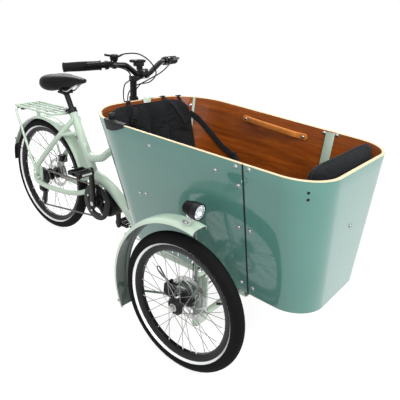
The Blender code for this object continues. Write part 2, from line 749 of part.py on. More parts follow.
# Rear rack, fender and light
def rear_rack():
    deck_z, half = 0.668, 0.062
    rear_x, front_x = -1.455, -1.110
    outline = bent(
        [(-1.30, half, deck_z), (rear_x, half, deck_z), (rear_x, -half, deck_z), (-1.30, -half, deck_z)], 0.02, 1
    )
    front = bent([(front_x, half, deck_z + 0.004), (front_x + 0.03, half * 0.5, deck_z + 0.004),
                  (front_x + 0.03, -half * 0.5, deck_z + 0.004), (front_x, -half, deck_z + 0.004)], 0.02, 1)
    loop = tube(outline + front[::-1], 0.0052, 6, closed=True)
    rails = [
        tube([(rear_x + 0.002, y, deck_z), (front_x + 0.022, y, deck_z + 0.003)], 0.0042, 6) for y in (-0.022, 0.022)
    ]
    legs = []
    for side in (1, -1):
        leg_path = bent([(-1.405, half * side, deck_z), (-1.412, 0.078 * side, deck_z - 0.045),
                         (-1.300, 0.0850 * side, 0.362), (-1.292, 0.0850 * side, 0.335)], 0.02, 1)
        legs.append(tube(leg_path, 0.0045, 6))
    plate = block((-1.462, -0.044, 0.6605), (-1.438, 0.044, 0.6665))
    bars = [tube([(x, -half, z), (x, half, z)], 0.0042, 6) for x, z in ((-1.355, deck_z), (-1.215, deck_z + 0.002))]
    front_stay = tube(
        bent([(front_x + 0.028, 0, deck_z + 0.003), (-1.070, 0, 0.654), (-1.046, 0, 0.640)], 0.01, 1), 0.0048, 6
    )
    rack = fused(loop, *rails, *legs, plate, *bars, front_stay)
    post_room = rod(SEAT_TUBE_FOOT, SEAT_TUBE_TOP, SEAT_TUBE_R + GAP, 12)
    node("rear_rack", cut(rack, post_room), "mint_paint")


def arch(centre, radius, start, end, section, count):
    """A mudguard: a section of (outward, sideways) points swept round a wheel centre in the XZ plane."""
    rings = []
    for k in range(count + 1):
        angle = math.radians(start + (end - start) * k / count)
        out = Vector((math.cos(angle), 0, math.sin(angle)))
        ring = []
        for rise, side in section:
            ring.append(Vector(centre) + out * (radius + rise) + Vector((0, side, 0)))
        rings.append(ring)
    return lofted(rings)


def guard_section(half, skirt, crown, thick):
    """A mudguard's cross-section: a flat crown between two sloping shoulders, open below."""
    outer = [(-skirt, -half), (crown, -half * 0.62), (crown, half * 0.62), (-skirt, half)]
    inner = [(-skirt, -half + thick), (crown - thick, -half * 0.60), (crown - thick, half * 0.60),
             (-skirt, half - thick)]
    return outer + inner[::-1]


def rear_fender():
    section = guard_section(0.031, 0.010, 0.004, 0.0016)
    guard = arch(REAR_AXLE, 0.318, 8, 158, section, 14)
    flap = arch(REAR_AXLE, 0.3215, 156.5, 176, [(-0.004, -0.026), (0, -0.026), (0, 0.026), (-0.004, 0.026)], 3)
    bracket = block((-1.365, -0.006, 0.6120), (-1.345, 0.006, 0.6625))
    node("rear_fender", fused(guard, flap, bracket), "mint_paint")


def tail_light():
    body = pillow((0.011, 0.026, 0.017), 0.5, 0.5, 5, 12)
    body.transform(Matrix.Translation((-1.478, 0, 0.648)))
    stem = block((-1.474, -0.008, 0.646), (-1.4625, 0.008, 0.658))
    node("tail_light", fused(body, stem), "red_lens")


# Wheels
def spokes(count, flanges, hub_r, rim_r):
    """Laced spokes: those of each flange lean alternately forward and back, three crossings deep."""
    made = []
    per_flange = count // 2
    lean_angle = math.radians(64)
    for index, flange_y in enumerate(flanges):
        for k in range(per_flange):
            rim_angle = TAU * (k + 0.25 + 0.5 * index) / per_flange
            lean = 1 if k % 2 else -1
            hub_angle = rim_angle + lean * lean_angle
            y = flange_y + lean * 0.0015
            rim_y = 0.003 if index == 0 else -0.003
            start = Vector((hub_r * math.cos(hub_angle), y, hub_r * math.sin(hub_angle)))
            end = Vector((rim_r * math.cos(rim_angle), rim_y, rim_r * math.sin(rim_angle)))
            made.append(rod(start, end, 0.0012, 3))
    return joined(made)


def rim_ring(outer_r, segments):
    profile = [(outer_r, -0.0125), (outer_r - 0.022, -0.0065), (outer_r - 0.022, 0.0065), (outer_r, 0.0125)]
    return turned([(r, -t) for r, t in profile], segments, (0, 1, 0), ring=True)


def tyre_ring(outer_r, segments):
    profile = [(outer_r, -0.0090), (outer_r - 0.012, -0.0225), (outer_r - 0.0445, -0.0135),
               (outer_r - 0.0445, 0.0135), (outer_r - 0.012, 0.0225), (outer_r, 0.0090)]
    return turned([(r, -t) for r, t in profile], segments, (0, 1, 0), ring=True)


def brake_rotor(y, bore_r):
    """A disc with a slim braking band on five swept arms."""
    disc = pipe_ring((0, y - 0.001, 0), (0, y + 0.001, 0), 0.080, bore_r, 20)
    windows = []
    for k in range(5):
        turn = 72 * k + 3
        outline = list(arc((0, 0), 0.066, turn + 6, turn + 62, 2)) + list(arc((0, 0), 0.032, turn + 50, turn + 26, 1))
        windows.append(prism(outline, y - 0.01, y + 0.01))
    return combined(disc, joined(windows), "DIFFERENCE")


def front_wheel(side, name):
    """Rim, laced spokes, hub and brake rotor of a front wheel, and its tyre, made at the origin."""
    centre = Vector((0, TRACK / 2 * side, FRONT_WHEEL_R))
    rim_r = FRONT_WHEEL_R - 0.0449
    hub_profile = [(0.0076, -0.040), (0.021, -0.040), (0.030, -0.031), (0.030, -0.027), (0.017, -0.021),
                   (0.017, 0.021), (0.030, 0.027), (0.030, 0.031), (0.021, 0.040), (0.0076, 0.040)]
    hub = turned(hub_profile, 10, (0, 1, 0), ring=True)
    wheel = fused(hub, brake_rotor(-0.0370 * side, 0.0115), rim_ring(rim_r, FRONT_SEGMENTS))
    wheel = combined(wheel, spokes(SPOKES, (0.029, -0.029), 0.0258, rim_r - 0.0205))
    tyre = tyre_ring(FRONT_WHEEL_R, FRONT_SEGMENTS)
    for mesh in (wheel, tyre):
        mesh.transform(Matrix.Translation(centre))
    node(f"front_wheel_{name}", wheel, "steel", centre)
    node(f"front_tyre_{name}", tyre, "rubber", centre)


def rear_wheel():
    rim_r = REAR_WHEEL_R - 0.0449
    hub_profile = [(0.0057, -0.012), (0.020, -0.012), (0.033, -0.003), (0.033, 0.001), (0.018, 0.006),
                   (0.018, 0.028), (0.031, 0.033), (0.031, 0.037), (0.021, 0.051), (0.0057, 0.051)]
    hub = turned([(r, -t) for r, t in hub_profile], 10, (0, -1, 0), ring=True)
    rotor = pipe_ring((0, 0.0465, 0), (0, 0.0485, 0), 0.080, 0.012, 14)
    wheel = fused(hub, rotor, rim_ring(rim_r, REAR_SEGMENTS))
    wheel = combined(wheel, spokes(REAR_SEGMENTS, (0.035, -0.001), 0.0272, rim_r - 0.0205))
    tyre = tyre_ring(REAR_WHEEL_R, REAR_SEGMENTS)
    for mesh in (wheel, tyre):
        mesh.transform(Matrix.Translation(REAR_AXLE))
    node("rear_wheel", wheel, "steel", REAR_AXLE)
    node("rear_tyre", tyre, "rubber", REAR_AXLE)


# Drive
def toothed(teeth, phase, low, high):
    """A sprocket blank whose teeth stop just short of the rollers of the chain that lies round it."""
    pitch_r = PITCH / (2 * math.sin(math.pi / teeth))
    step = TAU / teeth
    outline = []
    for k in range(teeth):
        middle = phase + (k + 0.5) * step
        for angle, radius in ((-0.5, -0.0075), (0, 0)):
            reach = pitch_r - ROLLER_ROOM + radius
            outline.append((reach * math.cos(middle + angle * step), reach * math.sin(middle + angle * step)))
    return prism(outline, low, high)


def around_circle(centre, radius, start, end, count):
    return [Vector((centre[0] + radius * math.cos(a), centre[1] + radius * math.sin(a)))
            for a in (start + (end - start) * k / count for k in range(count + 1))]


def tangent_angle(first, first_r, second, second_r, same_side):
    """Angle of the contact radius of a belt's straight run that leaves the first circle for the second."""
    along = Vector(second) - Vector(first)
    facing = math.atan2(along.y, along.x)
    reach = first_r - second_r if same_side else first_r + second_r
    return facing, math.acos(reach / along.length)


class ChainRoute:
    """The closed path of the chain round ring, sprocket and the two derailleur wheels."""

    def __init__(self, tension_z):
        self.ring = (CRANK_X, CRANK_Z)
        self.ring_r = PITCH / (2 * math.sin(math.pi / RING_TEETH))
        self.sprocket = (REAR_AXLE.x, REAR_AXLE.z)
        self.sprocket_r = PITCH / (2 * math.sin(math.pi / SPROCKET_TEETH))
        self.guide = (REAR_AXLE.x + 0.012, 0.236)
        self.tension = (REAR_AXLE.x - 0.008, tension_z)
        self.wheel_r = 0.0205
        self.points = self.trace()
        self.length = sum((b - a).length for a, b in zip(self.points, self.points[1:] + self.points[:1]))

    def trace(self):
        facing, open_angle = tangent_angle(self.ring, self.ring_r, self.sprocket, self.sprocket_r, True)
        top = facing - open_angle
        low_facing, low_angle = tangent_angle(self.tension, self.wheel_r, self.ring, self.ring_r, True)
        low = low_facing - low_angle
        drop_facing, drop_angle = tangent_angle(self.sprocket, self.sprocket_r, self.guide, self.wheel_r, False)
        leave = drop_facing + drop_angle
        cage_facing, cage_angle = tangent_angle(self.guide, self.wheel_r, self.tension, self.wheel_r, False)
        cross = cage_facing - cage_angle
        ring_span = (top - low) % TAU
        route = around_circle(self.ring, self.ring_r, low, low + ring_span, 90)
        sprocket_span = (leave - top) % TAU
        route += around_circle(self.sprocket, self.sprocket_r, top, top + sprocket_span, 50)
        enter_guide = leave + math.pi
        guide_span = (enter_guide - cross) % TAU
        route += around_circle(self.guide, self.wheel_r, enter_guide, enter_guide - guide_span, 24)
        enter_tension = cross + math.pi
        tension_span = (low - enter_tension) % TAU
        route += around_circle(self.tension, self.wheel_r, enter_tension, enter_tension + tension_span, 24)
        return route

    def pins(self):
        """Evenly spaced pin places, the first where the chain meets the ring."""
        count = round(self.length / PITCH)
        loop = self.points + self.points[:1]
        places, wanted, walked = [], 0.0, 0.0
        for a, b in zip(loop, loop[1:]):
            run = (b - a).length
            while wanted <= walked + run and len(places) < count:
                places.append(a + (b - a) * ((wanted - walked) / run if run else 0))
                wanted += self.length / count
            walked += run
        return places


def chain_route():
    """The route whose length is a whole, even number of pitches, found by moving the tension wheel."""
    low, high = 0.150, 0.178
    links = 2 * round(ChainRoute((low + high) / 2).length / PITCH / 2)
    for _ in range(40):
        middle = (low + high) / 2
        if ChainRoute(middle).length > links * PITCH:
            low = middle
        else:
            high = middle
    return ChainRoute(middle)


def chain(route):
    """The links as one strand: outer links stand wide and tall between the waists of inner ones."""
    pins = route.pins()
    bm = bmesh.new()
    rows = []
    for k, place in enumerate(pins):
        along = (pins[(k + 1) % len(pins)] - pins[k - 1]).normalized()
        normal = Vector((-along.y, along.x))
        half_y, rise = (0.0036, 0.0041) if k % 2 else (0.0024, 0.0030)
        row = []
        for side, lift in ((1, 1), (1, -1), (-1, -1), (-1, 1)):
            spot = place + normal * rise * lift
            row.append(bm.verts.new((spot.x, CHAIN_Y + side * half_y, spot.y)))
        rows.append(row)
    for row, following in zip(rows, rows[1:] + rows[:1]):
        for a, b, c, d in zip(row, row[1:] + row[:1], following[1:] + following[:1], following):
            bm.faces.new((a, b, c, d))
    node("chain", finished(bm, 1e-8), "steel")


def pin_angle(route, centre, radius, towards):
    """Angle, about a toothed wheel's centre, of the chain pin nearest to its far side."""
    spot = Vector(centre) + Vector((towards * radius, 0))
    place = min(route.pins(), key=lambda pin: (pin - spot).length)
    return math.atan2(place.y - centre[1], place.x - centre[0])


def crankset(route):
    phase = pin_angle(route, route.ring, route.ring_r, 1)
    ring = toothed(RING_TEETH, phase, CHAIN_Y - 0.0011, CHAIN_Y + 0.0011)
    windows = []
    for k in range(5):
        turn = 72 * k + 18
        outline = list(arc((0, 0), 0.058, turn + 8, turn + 64, 2)) + list(arc((0, 0), 0.038, turn + 54, turn + 18, 1))
        windows.append(prism(outline, CHAIN_Y - 0.01, CHAIN_Y + 0.01))
    ring = combined(ring, joined(windows), "DIFFERENCE")
    guard = pipe_ring((0, CHAIN_Y - 0.0105, 0), (0, CHAIN_Y - 0.0078, 0), 0.0925, 0.0595, 20)
    bolts = []
    for k in range(5):
        turn = math.radians(72 * k + 18)
        place = Vector((0.0655 * math.cos(turn), 0, 0.0655 * math.sin(turn)))
        bolts.append(rod(place + Vector((0, CHAIN_Y, 0)), place + Vector((0, CHAIN_Y - 0.0125, 0)), 0.0050, 3))
    hub = rod((0, CHAIN_Y - 0.026, 0), (0, CHAIN_Y + 0.0035, 0), 0.0325, 12)
    spindle = rod((0, -0.075, 0), (0, 0.079, 0), 0.0108, 12)
    right = prism(hull_of_circles((0, 0), 0.017, (0, CRANK_LENGTH), 0.0125, 4), -0.086, -0.072)
    left = prism(hull_of_circles((0, 0), 0.017, (0, -CRANK_LENGTH), 0.0125, 4), 0.072, 0.086)
    bosses = [rod((0, 0.0595, 0), (0, 0.080, 0), 0.0165, 10)]
    whole = fused(ring, hub, guard, *bolts, spindle, right, left, *bosses)
    pedal_holes = [rod((0, -0.1, CRANK_LENGTH), (0, -0.05, CRANK_LENGTH), 0.0068, 9),
                   rod((0, 0.05, -CRANK_LENGTH), (0, 0.1, -CRANK_LENGTH), 0.0068, 9)]
    whole = cut(whole, *pedal_holes)
    whole.transform(Matrix.Translation((CRANK_X, 0, CRANK_Z)))
    node("crankset", whole, "black_metal", (CRANK_X, 0, CRANK_Z))


def pedal(side, name):
    """A platform pedal: a spindle, a cage with two windows and a toothed edge front and back."""
    sign = -1 if side < 0 else 1
    base = Vector((CRANK_X, 0, CRANK_Z + (CRANK_LENGTH if side < 0 else -CRANK_LENGTH)))
    spindle = rod((0, 0.0725 * sign, 0), (0, 0.100 * sign, 0), 0.0062, 8)
    low, high = sorted((0.094 * sign, 0.180 * sign))
    cage = block((-0.043, low, -0.010), (0.043, high, 0.010), 0.003)
    windows = []
    for start in (-0.034, 0.011):
        windows.append(block((start, low + 0.010, -0.02), (start + 0.023, high - 0.010, 0.02)))
    cage = combined(cage, joined(windows), "DIFFERENCE")
    whole = fused(cage, spindle)
    whole.transform(Matrix.Translation(base))
    node(f"pedal_{name}", whole, "black_plastic", base)


def cassette(route):
    """Three sprockets on a sleeve; the chain lies on the middle one."""
    phase = pin_angle(route, route.sprocket, route.sprocket_r, -1)
    profile = [(0.0062, -0.0085), (0.0165, -0.0085), (0.0270, -0.0055), (0.0270, -0.0035), (0.0165, -0.0030)]
    profile += [(0.0175, 0.0050), (0.0500, 0.0075), (0.0500, 0.0095), (0.0175, 0.0130), (0.0175, 0.0315)]
    profile.append((0.0062, 0.0315))
    sleeve = turned(profile, 10, (0, 1, 0), ring=True)
    working = toothed(SPROCKET_TEETH, phase, -0.0009, 0.0009)
    working = cut(working, rod((0, -0.01, 0), (0, 0.01, 0), 0.0120, 10))
    blank = fused(sleeve, working)
    blank.transform(Matrix.Translation(REAR_AXLE + Vector((0, CHAIN_Y, 0))))
    node("cassette", blank, "steel", REAR_AXLE)


def derailleur(route):
    """Hanger, body and a cage of two plates that holds the two chain wheels."""
    guide = Vector((route.guide[0], 0, route.guide[1]))
    tension = Vector((route.tension[0], 0, route.tension[1]))
    wheels = []
    for centre, hub_r in ((guide, 0.0050), (tension, 0.0046)):
        wheels.append(rod((centre.x, CHAIN_Y - 0.0012, centre.z), (centre.x, CHAIN_Y + 0.0012, centre.z),
                          route.wheel_r - 0.0048, 10))
        wheels.append(rod((centre.x, CHAIN_Y - 0.0078, centre.z), (centre.x, CHAIN_Y + 0.0079, centre.z), hub_r, 6))
    outline = hull_of_circles((guide.x, guide.z), 0.011, (tension.x, tension.z), 0.010, 3)
    plates = [prism(outline, CHAIN_Y - 0.0085, CHAIN_Y - 0.0060), prism(outline, CHAIN_Y + 0.0060, CHAIN_Y + 0.0085)]
    body = block((REAR_AXLE.x - 0.012, CHAIN_Y - 0.026, 0.228), (REAR_AXLE.x + 0.016, CHAIN_Y - 0.0070, 0.258))
    hanger = prism([(REAR_AXLE.x - 0.010, 0.248), (REAR_AXLE.x + 0.010, 0.248), (REAR_AXLE.x + 0.010, 0.2668),
                    (REAR_AXLE.x - 0.010, 0.2668)], -STAY_Y - 0.003, -STAY_Y + 0.003)
    node("rear_derailleur", fused(*plates, *wheels, body, hanger), "black_metal")


# Steering
def steering_column():
    """Steerer, stem and bar clamp, with the drop arm that moves the drag link."""
    column = rod((STEER_X, 0, 0.1740), (STEER_X, 0, 0.890), 0.0143, 13)
    collar = turned([(0, 0), (0.022, 0), (0.030, 0.006), (0.030, 0.0155), (0, 0.0155)], 12, centre=(STEER_X, 0, 0.7005))
    cap = rod((STEER_X, 0, 0.8785), (STEER_X, 0, 0.902), 0.0180, 11)
    stem = rod((STEER_X + 0.004, 0, 0.889), (-0.566, 0, 0.9135), 0.0105, 10)
    clamp = rod((-0.560, -0.021, 0.916), (-0.560, 0.021, 0.916), 0.0200, 12)
    arm = prism(hull_of_circles((STEER_X, 0), 0.0165, (STEER_X, -ARM), 0.0100, 4), 0.1720, 0.1770, "XY")
    pin = rod((STEER_X, -ARM, 0.174), (STEER_X, -ARM, 0.1935), 0.0032, 6)
    whole = fused(column, collar, cap, stem, clamp, arm, pin)
    bar_room = rod((-0.560, -0.035, 0.916), (-0.560, 0.035, 0.916), 0.0118, 10)
    node("steering_column", cut(whole, bar_room), "black_metal", (STEER_X, 0, 0.700))


def bar_path():
    half = [(-0.668, -0.306, 0.948), (-0.590, -0.150, 0.956), (-0.560, -0.096, 0.955), (-0.560, -0.036, 0.916),
            (-0.560, 0, 0.916)]
    points = half + [(x, -y, z) for x, y, z in half[-2::-1]]
    return bent(points, 0.035, 1)


def grip_line(side):
    """Start and direction of the straight part of the bar on a side."""
    inner = Vector((-0.590, 0.150 * side, 0.956))
    outer = Vector((-0.668, 0.306 * side, 0.948))
    return inner, (outer - inner).normalized()


def handlebar():
    bar = tube(bar_path(), 0.0111, 10)
    pieces = [bar]
    for side in (1, -1):
        inner, along = grip_line(side)
        clamp = inner + along * 0.012
        pieces.append(rod(clamp - along * 0.006, clamp + along * 0.008, 0.0165, 10))
        post = clamp + Vector((0.030, 0, 0.003))
        drop = Vector((0, 0, 0.0035))
        pieces.append(rod(clamp - drop, post - drop, 0.0050, 6))
        pieces.append(rod(post - Vector((0, 0, 0.008)), post + Vector((0, 0, 0.0035)), 0.0075, 8))
    pod, _ = grip_line(-1)
    seat = pod + Vector((0.004, 0.018, 0.004))
    pieces.append(rod(seat, seat + Vector((0, 0, 0.0215)), 0.007, 10))
    node("handlebar", fused(*pieces), "black_metal", (STEER_X, 0, 0.700))


def grips():
    for side, name in ((1, "left"), (-1, "right")):
        inner, along = grip_line(side)
        start = inner + along * 0.036
        tip = (Vector((-0.668, 0.306 * side, 0.948)) - start).length + 0.0004
        profile = [(0.0117, 0), (0.0185, 0.001), (0.0165, 0.008), (0.0172, 0.062), (0.0158, 0.094), (0.0178, tip),
                   (0.0140, tip + 0.004), (0, tip + 0.004), (0, tip), (0.0117, tip), (0.0117, 0)]
        node(f"grip_{name}", turned(profile, 10, along, start), "rubber", (STEER_X, 0, 0.700))


def lever_pivot(side):
    inner, along = grip_line(side)
    return inner + along * 0.012 + Vector((0.030, 0, 0.007))


def brake_levers():
    for side, name in ((1, "left"), (-1, "right")):
        pivot = lever_pivot(side)
        _, along = grip_line(side)
        eye = rod(pivot, pivot + Vector((0, 0, 0.0085)), 0.0078, 9)
        rise = 0.0058
        blade_path = bent([pivot + Vector((0.001, 0, rise)), pivot + along * 0.020 + Vector((0.012, 0, rise)),
                           pivot + along * 0.060 + Vector((0.013, 0, rise)),
                           pivot + along * 0.108 + Vector((0.017, 0, rise))], 0.02, 2)
        blade = tube(blade_path, 0.0042, 6)
        node(f"brake_lever_{name}", fused(eye, blade), "black_metal", pivot)


def shifter_place():
    pod, _ = grip_line(-1)
    return pod + Vector((0.004, 0.018, 0.0260))


def gear_shifter():
    """A round thumb shifter on top of the bar, with its lever."""
    place = shifter_place()
    drum = turned([(0, 0), (0.016, 0), (0.018, 0.003), (0.018, 0.010), (0.013, 0.014), (0, 0.0145)], 12,
                  (0, 0, 1), place)
    lever = tube(bent([place + Vector((-0.010, 0, 0.006)), place + Vector((-0.030, -0.006, 0.007)),
                       place + Vector((-0.038, -0.016, 0.009))], 0.01, 2), 0.0042, 6)
    node("gear_shifter", fused(drum, lever), "black_plastic", place)


def display_unit():
    body = block((-0.612, -0.030, 0.9575), (-0.574, 0.030, 0.9700), 0.004)
    leg = block((-0.586, -0.010, 0.9385), (-0.576, 0.010, 0.960))
    node("display_unit", fused(body, leg), "black_plastic", (STEER_X, 0, 0.700))


def bell_crank():
    """The two-armed plate on the cross tube's middle that passes the drag link's pull to the tie rod."""
    hub = rod((0, 0, 0.1745), (0, 0, 0.1805), 0.0135, 12)
    side_arm = prism(hull_of_circles((0, 0), 0.0130, (0, -ARM), 0.0095, 4), 0.1748, 0.1800, "XY")
    rear_arm = prism(hull_of_circles((0, 0), 0.0130, (-ARM, 0), 0.0095, 4), 0.1748, 0.1800, "XY")
    side_pin = rod((0, -ARM, 0.178), (0, -ARM, 0.1920), 0.0032, 6)
    pins = [side_pin, rod((-ARM, 0, 0.178), (-ARM, 0, 0.2035), 0.0032, 6)]
    node("bell_crank", fused(hub, side_arm, rear_arm, *pins), "steel", (0, 0, 0.1775))


def drag_link():
    """Rod from the column's drop arm to the bell crank, parallel to the centre plane."""
    low = LINK_Z - 0.0045
    high = LINK_Z + 0.0045
    eyes = [pipe_ring((x, -ARM, low), (x, -ARM, high), 0.0085, 0.0039, 8) for x in (STEER_X, 0)]
    bar = rod((STEER_X + 0.006, -ARM, LINK_Z), (-0.006, -ARM, LINK_Z), 0.0042, 6)
    node("drag_link", fused(*eyes, bar), "steel", (STEER_X, -ARM, LINK_Z))


def tie_rod():
    """Rod between the two steering arms, carried at its middle by the bell crank."""
    low = TIE_Z - 0.0045
    high = TIE_Z + 0.0045
    eyes = [pipe_ring((-ARM, y, low), (-ARM, y, high), 0.0090, 0.0041, 7) for y in (-KINGPIN_Y, 0, KINGPIN_Y)]
    halves = []
    for side in (1, -1):
        halves.append(rod((-ARM, 0.006 * side, TIE_Z), (-ARM, (KINGPIN_Y - 0.006) * side, TIE_Z), 0.0042, 6))
    node("tie_rod", fused(*eyes, *halves), "steel", (-ARM, 0, TIE_Z))


def knuckles():
    """Kingpin barrel, stub axle, steering arm, caliper and fender stays of each front wheel."""
    for side, name in ((1, "left"), (-1, "right")):
        y = KINGPIN_Y * side
        wheel_y = TRACK / 2 * side
        barrel = rod((0, y, 0.1515), (0, y, 0.3205), 0.0140, 10)
        kingpin = rod((0, y, 0.118), (0, y, 0.346), 0.0062, 8)
        stub = rod((0, y, FRONT_WHEEL_R), (0, wheel_y + 0.058 * side, FRONT_WHEEL_R), 0.0070, 10)
        shoulder = rod((0, y, FRONT_WHEEL_R), (0, wheel_y - 0.0425 * side, FRONT_WHEEL_R), 0.0125, 8)
        nut = rod((0, wheel_y + 0.0415 * side, FRONT_WHEEL_R), (0, wheel_y + 0.0520 * side, FRONT_WHEEL_R), 0.0115, 6)
        arm = prism(hull_of_circles((0, y), 0.0150, (-ARM, y), 0.0095, 4), 0.1850, 0.1925, "XY")
        pin = rod((-ARM, y, 0.190), (-ARM, y, 0.2035), 0.0032, 6)
        rotor_y = wheel_y - 0.0370 * side
        low, high = sorted((rotor_y - 0.018 * side, rotor_y + 0.011 * side))
        caliper_outline = [(-0.060, 0.222), (-0.098, 0.222), (-0.110, 0.236), (-0.108, 0.272), (-0.096, 0.284), (-0.060, 0.284)]
        caliper = prism(caliper_outline, low, high)
        slot_low, slot_high = rotor_y - 0.0024, rotor_y + 0.0024
        caliper = cut(caliper, block((-0.0985, slot_low, 0.19), (0.0, slot_high, 0.31)))
        mount_low, mount_high = sorted((y + 0.006 * side, y + 0.0135 * side))
        mount = prism([(0.0, 0.235), (0.0, 0.285), (-0.060, 0.282), (-0.075, 0.225), (-0.060, 0.222)],
                      mount_low, mount_high)
        bridge_low, bridge_high = sorted((y + 0.007 * side, rotor_y - 0.012 * side))
        bridge = block((-0.075, bridge_low, 0.226), (-0.060, bridge_high, 0.280))
        stay_y = y + 0.040 * side
        lower = tube(bent([(-0.006, y, 0.240), (-0.030, stay_y - 0.016 * side, 0.236), (-0.300, stay_y, 0.152)], 0.02, 1),
                     0.0045, 6)
        upper = tube(bent([(0.0, y, 0.300), (0.010, stay_y - 0.018 * side, 0.318), (0.012, stay_y + 0.004 * side, 0.560)],
                          0.02, 1), 0.0045, 6)
        whole = fused(barrel, kingpin, shoulder, stub, nut, arm, pin, mount, bridge, caliper, lower, upper)
        node(f"knuckle_{name}", whole, "mint_paint", (0, y, FRONT_WHEEL_R))


def front_fenders():
    for side, name in ((1, "left"), (-1, "right")):
        centre = Vector((0, TRACK / 2 * side, FRONT_WHEEL_R))
        section = guard_section(0.034, 0.014, 0.004, 0.0016)
        guard = arch(centre, 0.303, 77, 206, section, 12)
        node(f"front_fender_{name}", guard, "mint_paint", (0, KINGPIN_Y * side, FRONT_WHEEL_R))


def headlamp():
    """Round lamp with cooling ribs on a wire bracket at the front of the right fender."""
    axis = Vector((1, 0, -0.08)).normalized()
    back = Vector((0.022, -0.398, 0.618))
    profile = [(0, 0), (0.014, 0.001), (0.019, 0.010), (0.0165, 0.013), (0.023, 0.017), (0.0200, 0.022),
               (0.026, 0.027), (0.0275, 0.060), (0.0235, 0.060), (0, 0.053)]
    body = turned(profile, 11, axis, back)
    legs = []
    for dy in (0.013, -0.013):
        legs.append(tube(bent([(0.052, -0.398 + dy, 0.602), (0.056, -0.398 + dy, 0.578), (0.040, -0.398 + dy, 0.5650)],
                              0.008, 1), 0.0022, 4))
    foot = block((0.026, -0.416, 0.5625), (0.048, -0.380, 0.5665))
    node("headlamp", fused(body, *legs, foot), "black_plastic", (0, -KINGPIN_Y, FRONT_WHEEL_R))


# Cables
def cables():
    """Outer cables from the levers and the shifter to the ports at the top of the head tube."""
    radius = 0.0025
    left_post = lever_pivot(1) + Vector((0.012, -0.002, -0.006))
    right_post = lever_pivot(-1) + Vector((0.012, 0.002, -0.006))
    pod = shifter_place() + Vector((0.0200, 0.004, 0.006))
    routes = {
        "cable_brake_left": [left_post, (-0.540, 0.120, 0.938), (-0.556, 0.092, 0.912), (-0.594, 0.064, 0.884),
                             (-0.632, 0.044, 0.856), (-0.650, 0.030, 0.812), (-0.648, 0.022, 0.760),
                             (-0.6405, 0.016, 0.7173)],
        "cable_brake_right": [right_post, (-0.534, -0.112, 0.938), (-0.566, -0.064, 0.900), (-0.630, -0.040, 0.866),
                              (-0.652, -0.028, 0.812), (-0.648, -0.018, 0.760), (-0.641, -0.014, 0.7173)],
        "cable_gear": [pod, (-0.550, -0.105, 0.999), (-0.534, -0.050, 0.997), (-0.526, 0.006, 0.966),
                       (-0.532, 0.046, 0.918), (-0.574, 0.052, 0.878), (-0.630, 0.030, 0.860),
                       (-0.656, 0.006, 0.826), (-0.658, 0.001, 0.770), (-0.6465, 0.001, 0.7173)],
    }
    for name, points in routes.items():
        node(name, tube(flowing(points, 0.0155), radius, 8), "black_plastic", (STEER_X, 0, 0.700))


def settle_origin():
    for obj in bpy.data.objects:
        obj.location.x += FRONT_AXLE_TO_ORIGIN


def build():
    clear_scene()
    box_pieces()
    seam_strips()
    wall_handles()
    benches()
    cushions()
    main_frame()
    rear_stays()
    rear_axle()
    front_crossmember()
    motor()
    battery()
    seat_clamp()
    saddle_and_post()
    rear_rack()
    rear_fender()
    tail_light()
    for side, name in ((1, "left"), (-1, "right")):
        front_wheel(side, name)
    rear_wheel()
    route = chain_route()
    chain(route)
    crankset(route)
    for side, name in ((1, "left"), (-1, "right")):
        pedal(side, name)
    cassette(route)
    derailleur(route)
    steering_column()
    handlebar()
    grips()
    brake_levers()
    gear_shifter()
    display_unit()
    bell_crank()
    drag_link()
    tie_rod()
    knuckles()
    front_fenders()
    headlamp()
    cables()
    settle_origin()


build()
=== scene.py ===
"""Finish of a front-loading cargo tricycle: smooth shells, wheels, cushions, harness, materials and light.

Metres, +X forward, +Y to the rider's left, +Z up. Places along X are measured from the front axle and
moved into the frame when a piece is placed.
"""

import math

import bmesh
import bpy
from mathutils import Matrix, Vector
from mathutils.bvhtree import BVHTree


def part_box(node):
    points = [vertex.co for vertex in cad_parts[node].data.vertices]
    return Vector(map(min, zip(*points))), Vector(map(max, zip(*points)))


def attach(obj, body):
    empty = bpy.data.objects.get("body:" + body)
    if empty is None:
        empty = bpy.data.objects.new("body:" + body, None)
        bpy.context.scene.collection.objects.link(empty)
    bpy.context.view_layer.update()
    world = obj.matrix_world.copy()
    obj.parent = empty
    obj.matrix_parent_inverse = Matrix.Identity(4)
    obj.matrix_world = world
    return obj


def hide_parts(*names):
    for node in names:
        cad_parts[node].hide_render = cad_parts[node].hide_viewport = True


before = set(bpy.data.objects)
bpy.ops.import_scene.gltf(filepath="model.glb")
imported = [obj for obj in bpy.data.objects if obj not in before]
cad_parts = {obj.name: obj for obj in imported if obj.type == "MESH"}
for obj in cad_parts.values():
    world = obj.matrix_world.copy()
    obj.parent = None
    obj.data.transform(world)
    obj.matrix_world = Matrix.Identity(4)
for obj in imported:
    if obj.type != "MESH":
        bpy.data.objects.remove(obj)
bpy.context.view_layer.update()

TAU = 2 * math.pi
X = Vector((1, 0, 0))
UP = Vector((0, 0, 1))
FLIP = {side: Vector((1, side, 1)) for side in (1, -1)}


def middle(node):
    low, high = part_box(node)
    return (low + high) / 2


# Driving places, read from the frame
AXLE_X = middle("front_tyre_right").x
FRONT_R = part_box("front_tyre_right")[1].z / 2
REAR_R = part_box("rear_tyre")[1].z / 2
HALF_TRACK = middle("front_tyre_left").y
REAR_AXLE = Vector((middle("rear_tyre").x - AXLE_X, 0, REAR_R))
CRANK = Vector((-0.83, 0, 0.285))
CRANK_LENGTH = 0.17
STEER_X = -0.62
BAR = Vector((-0.56, 0, 0.916))
SEAT_TOP = Vector((-1.05, 0, 0.678))
SEAT_FOOT = Vector((-0.886, 0, 0.362))
SEAT_AXIS = (SEAT_TOP - SEAT_FOOT).normalized()
KINGPIN_Y = 0.29
STEER_ARM = 0.06
BEAM_Z = 0.14
SIDES = ((1, "left"), (-1, "right"))

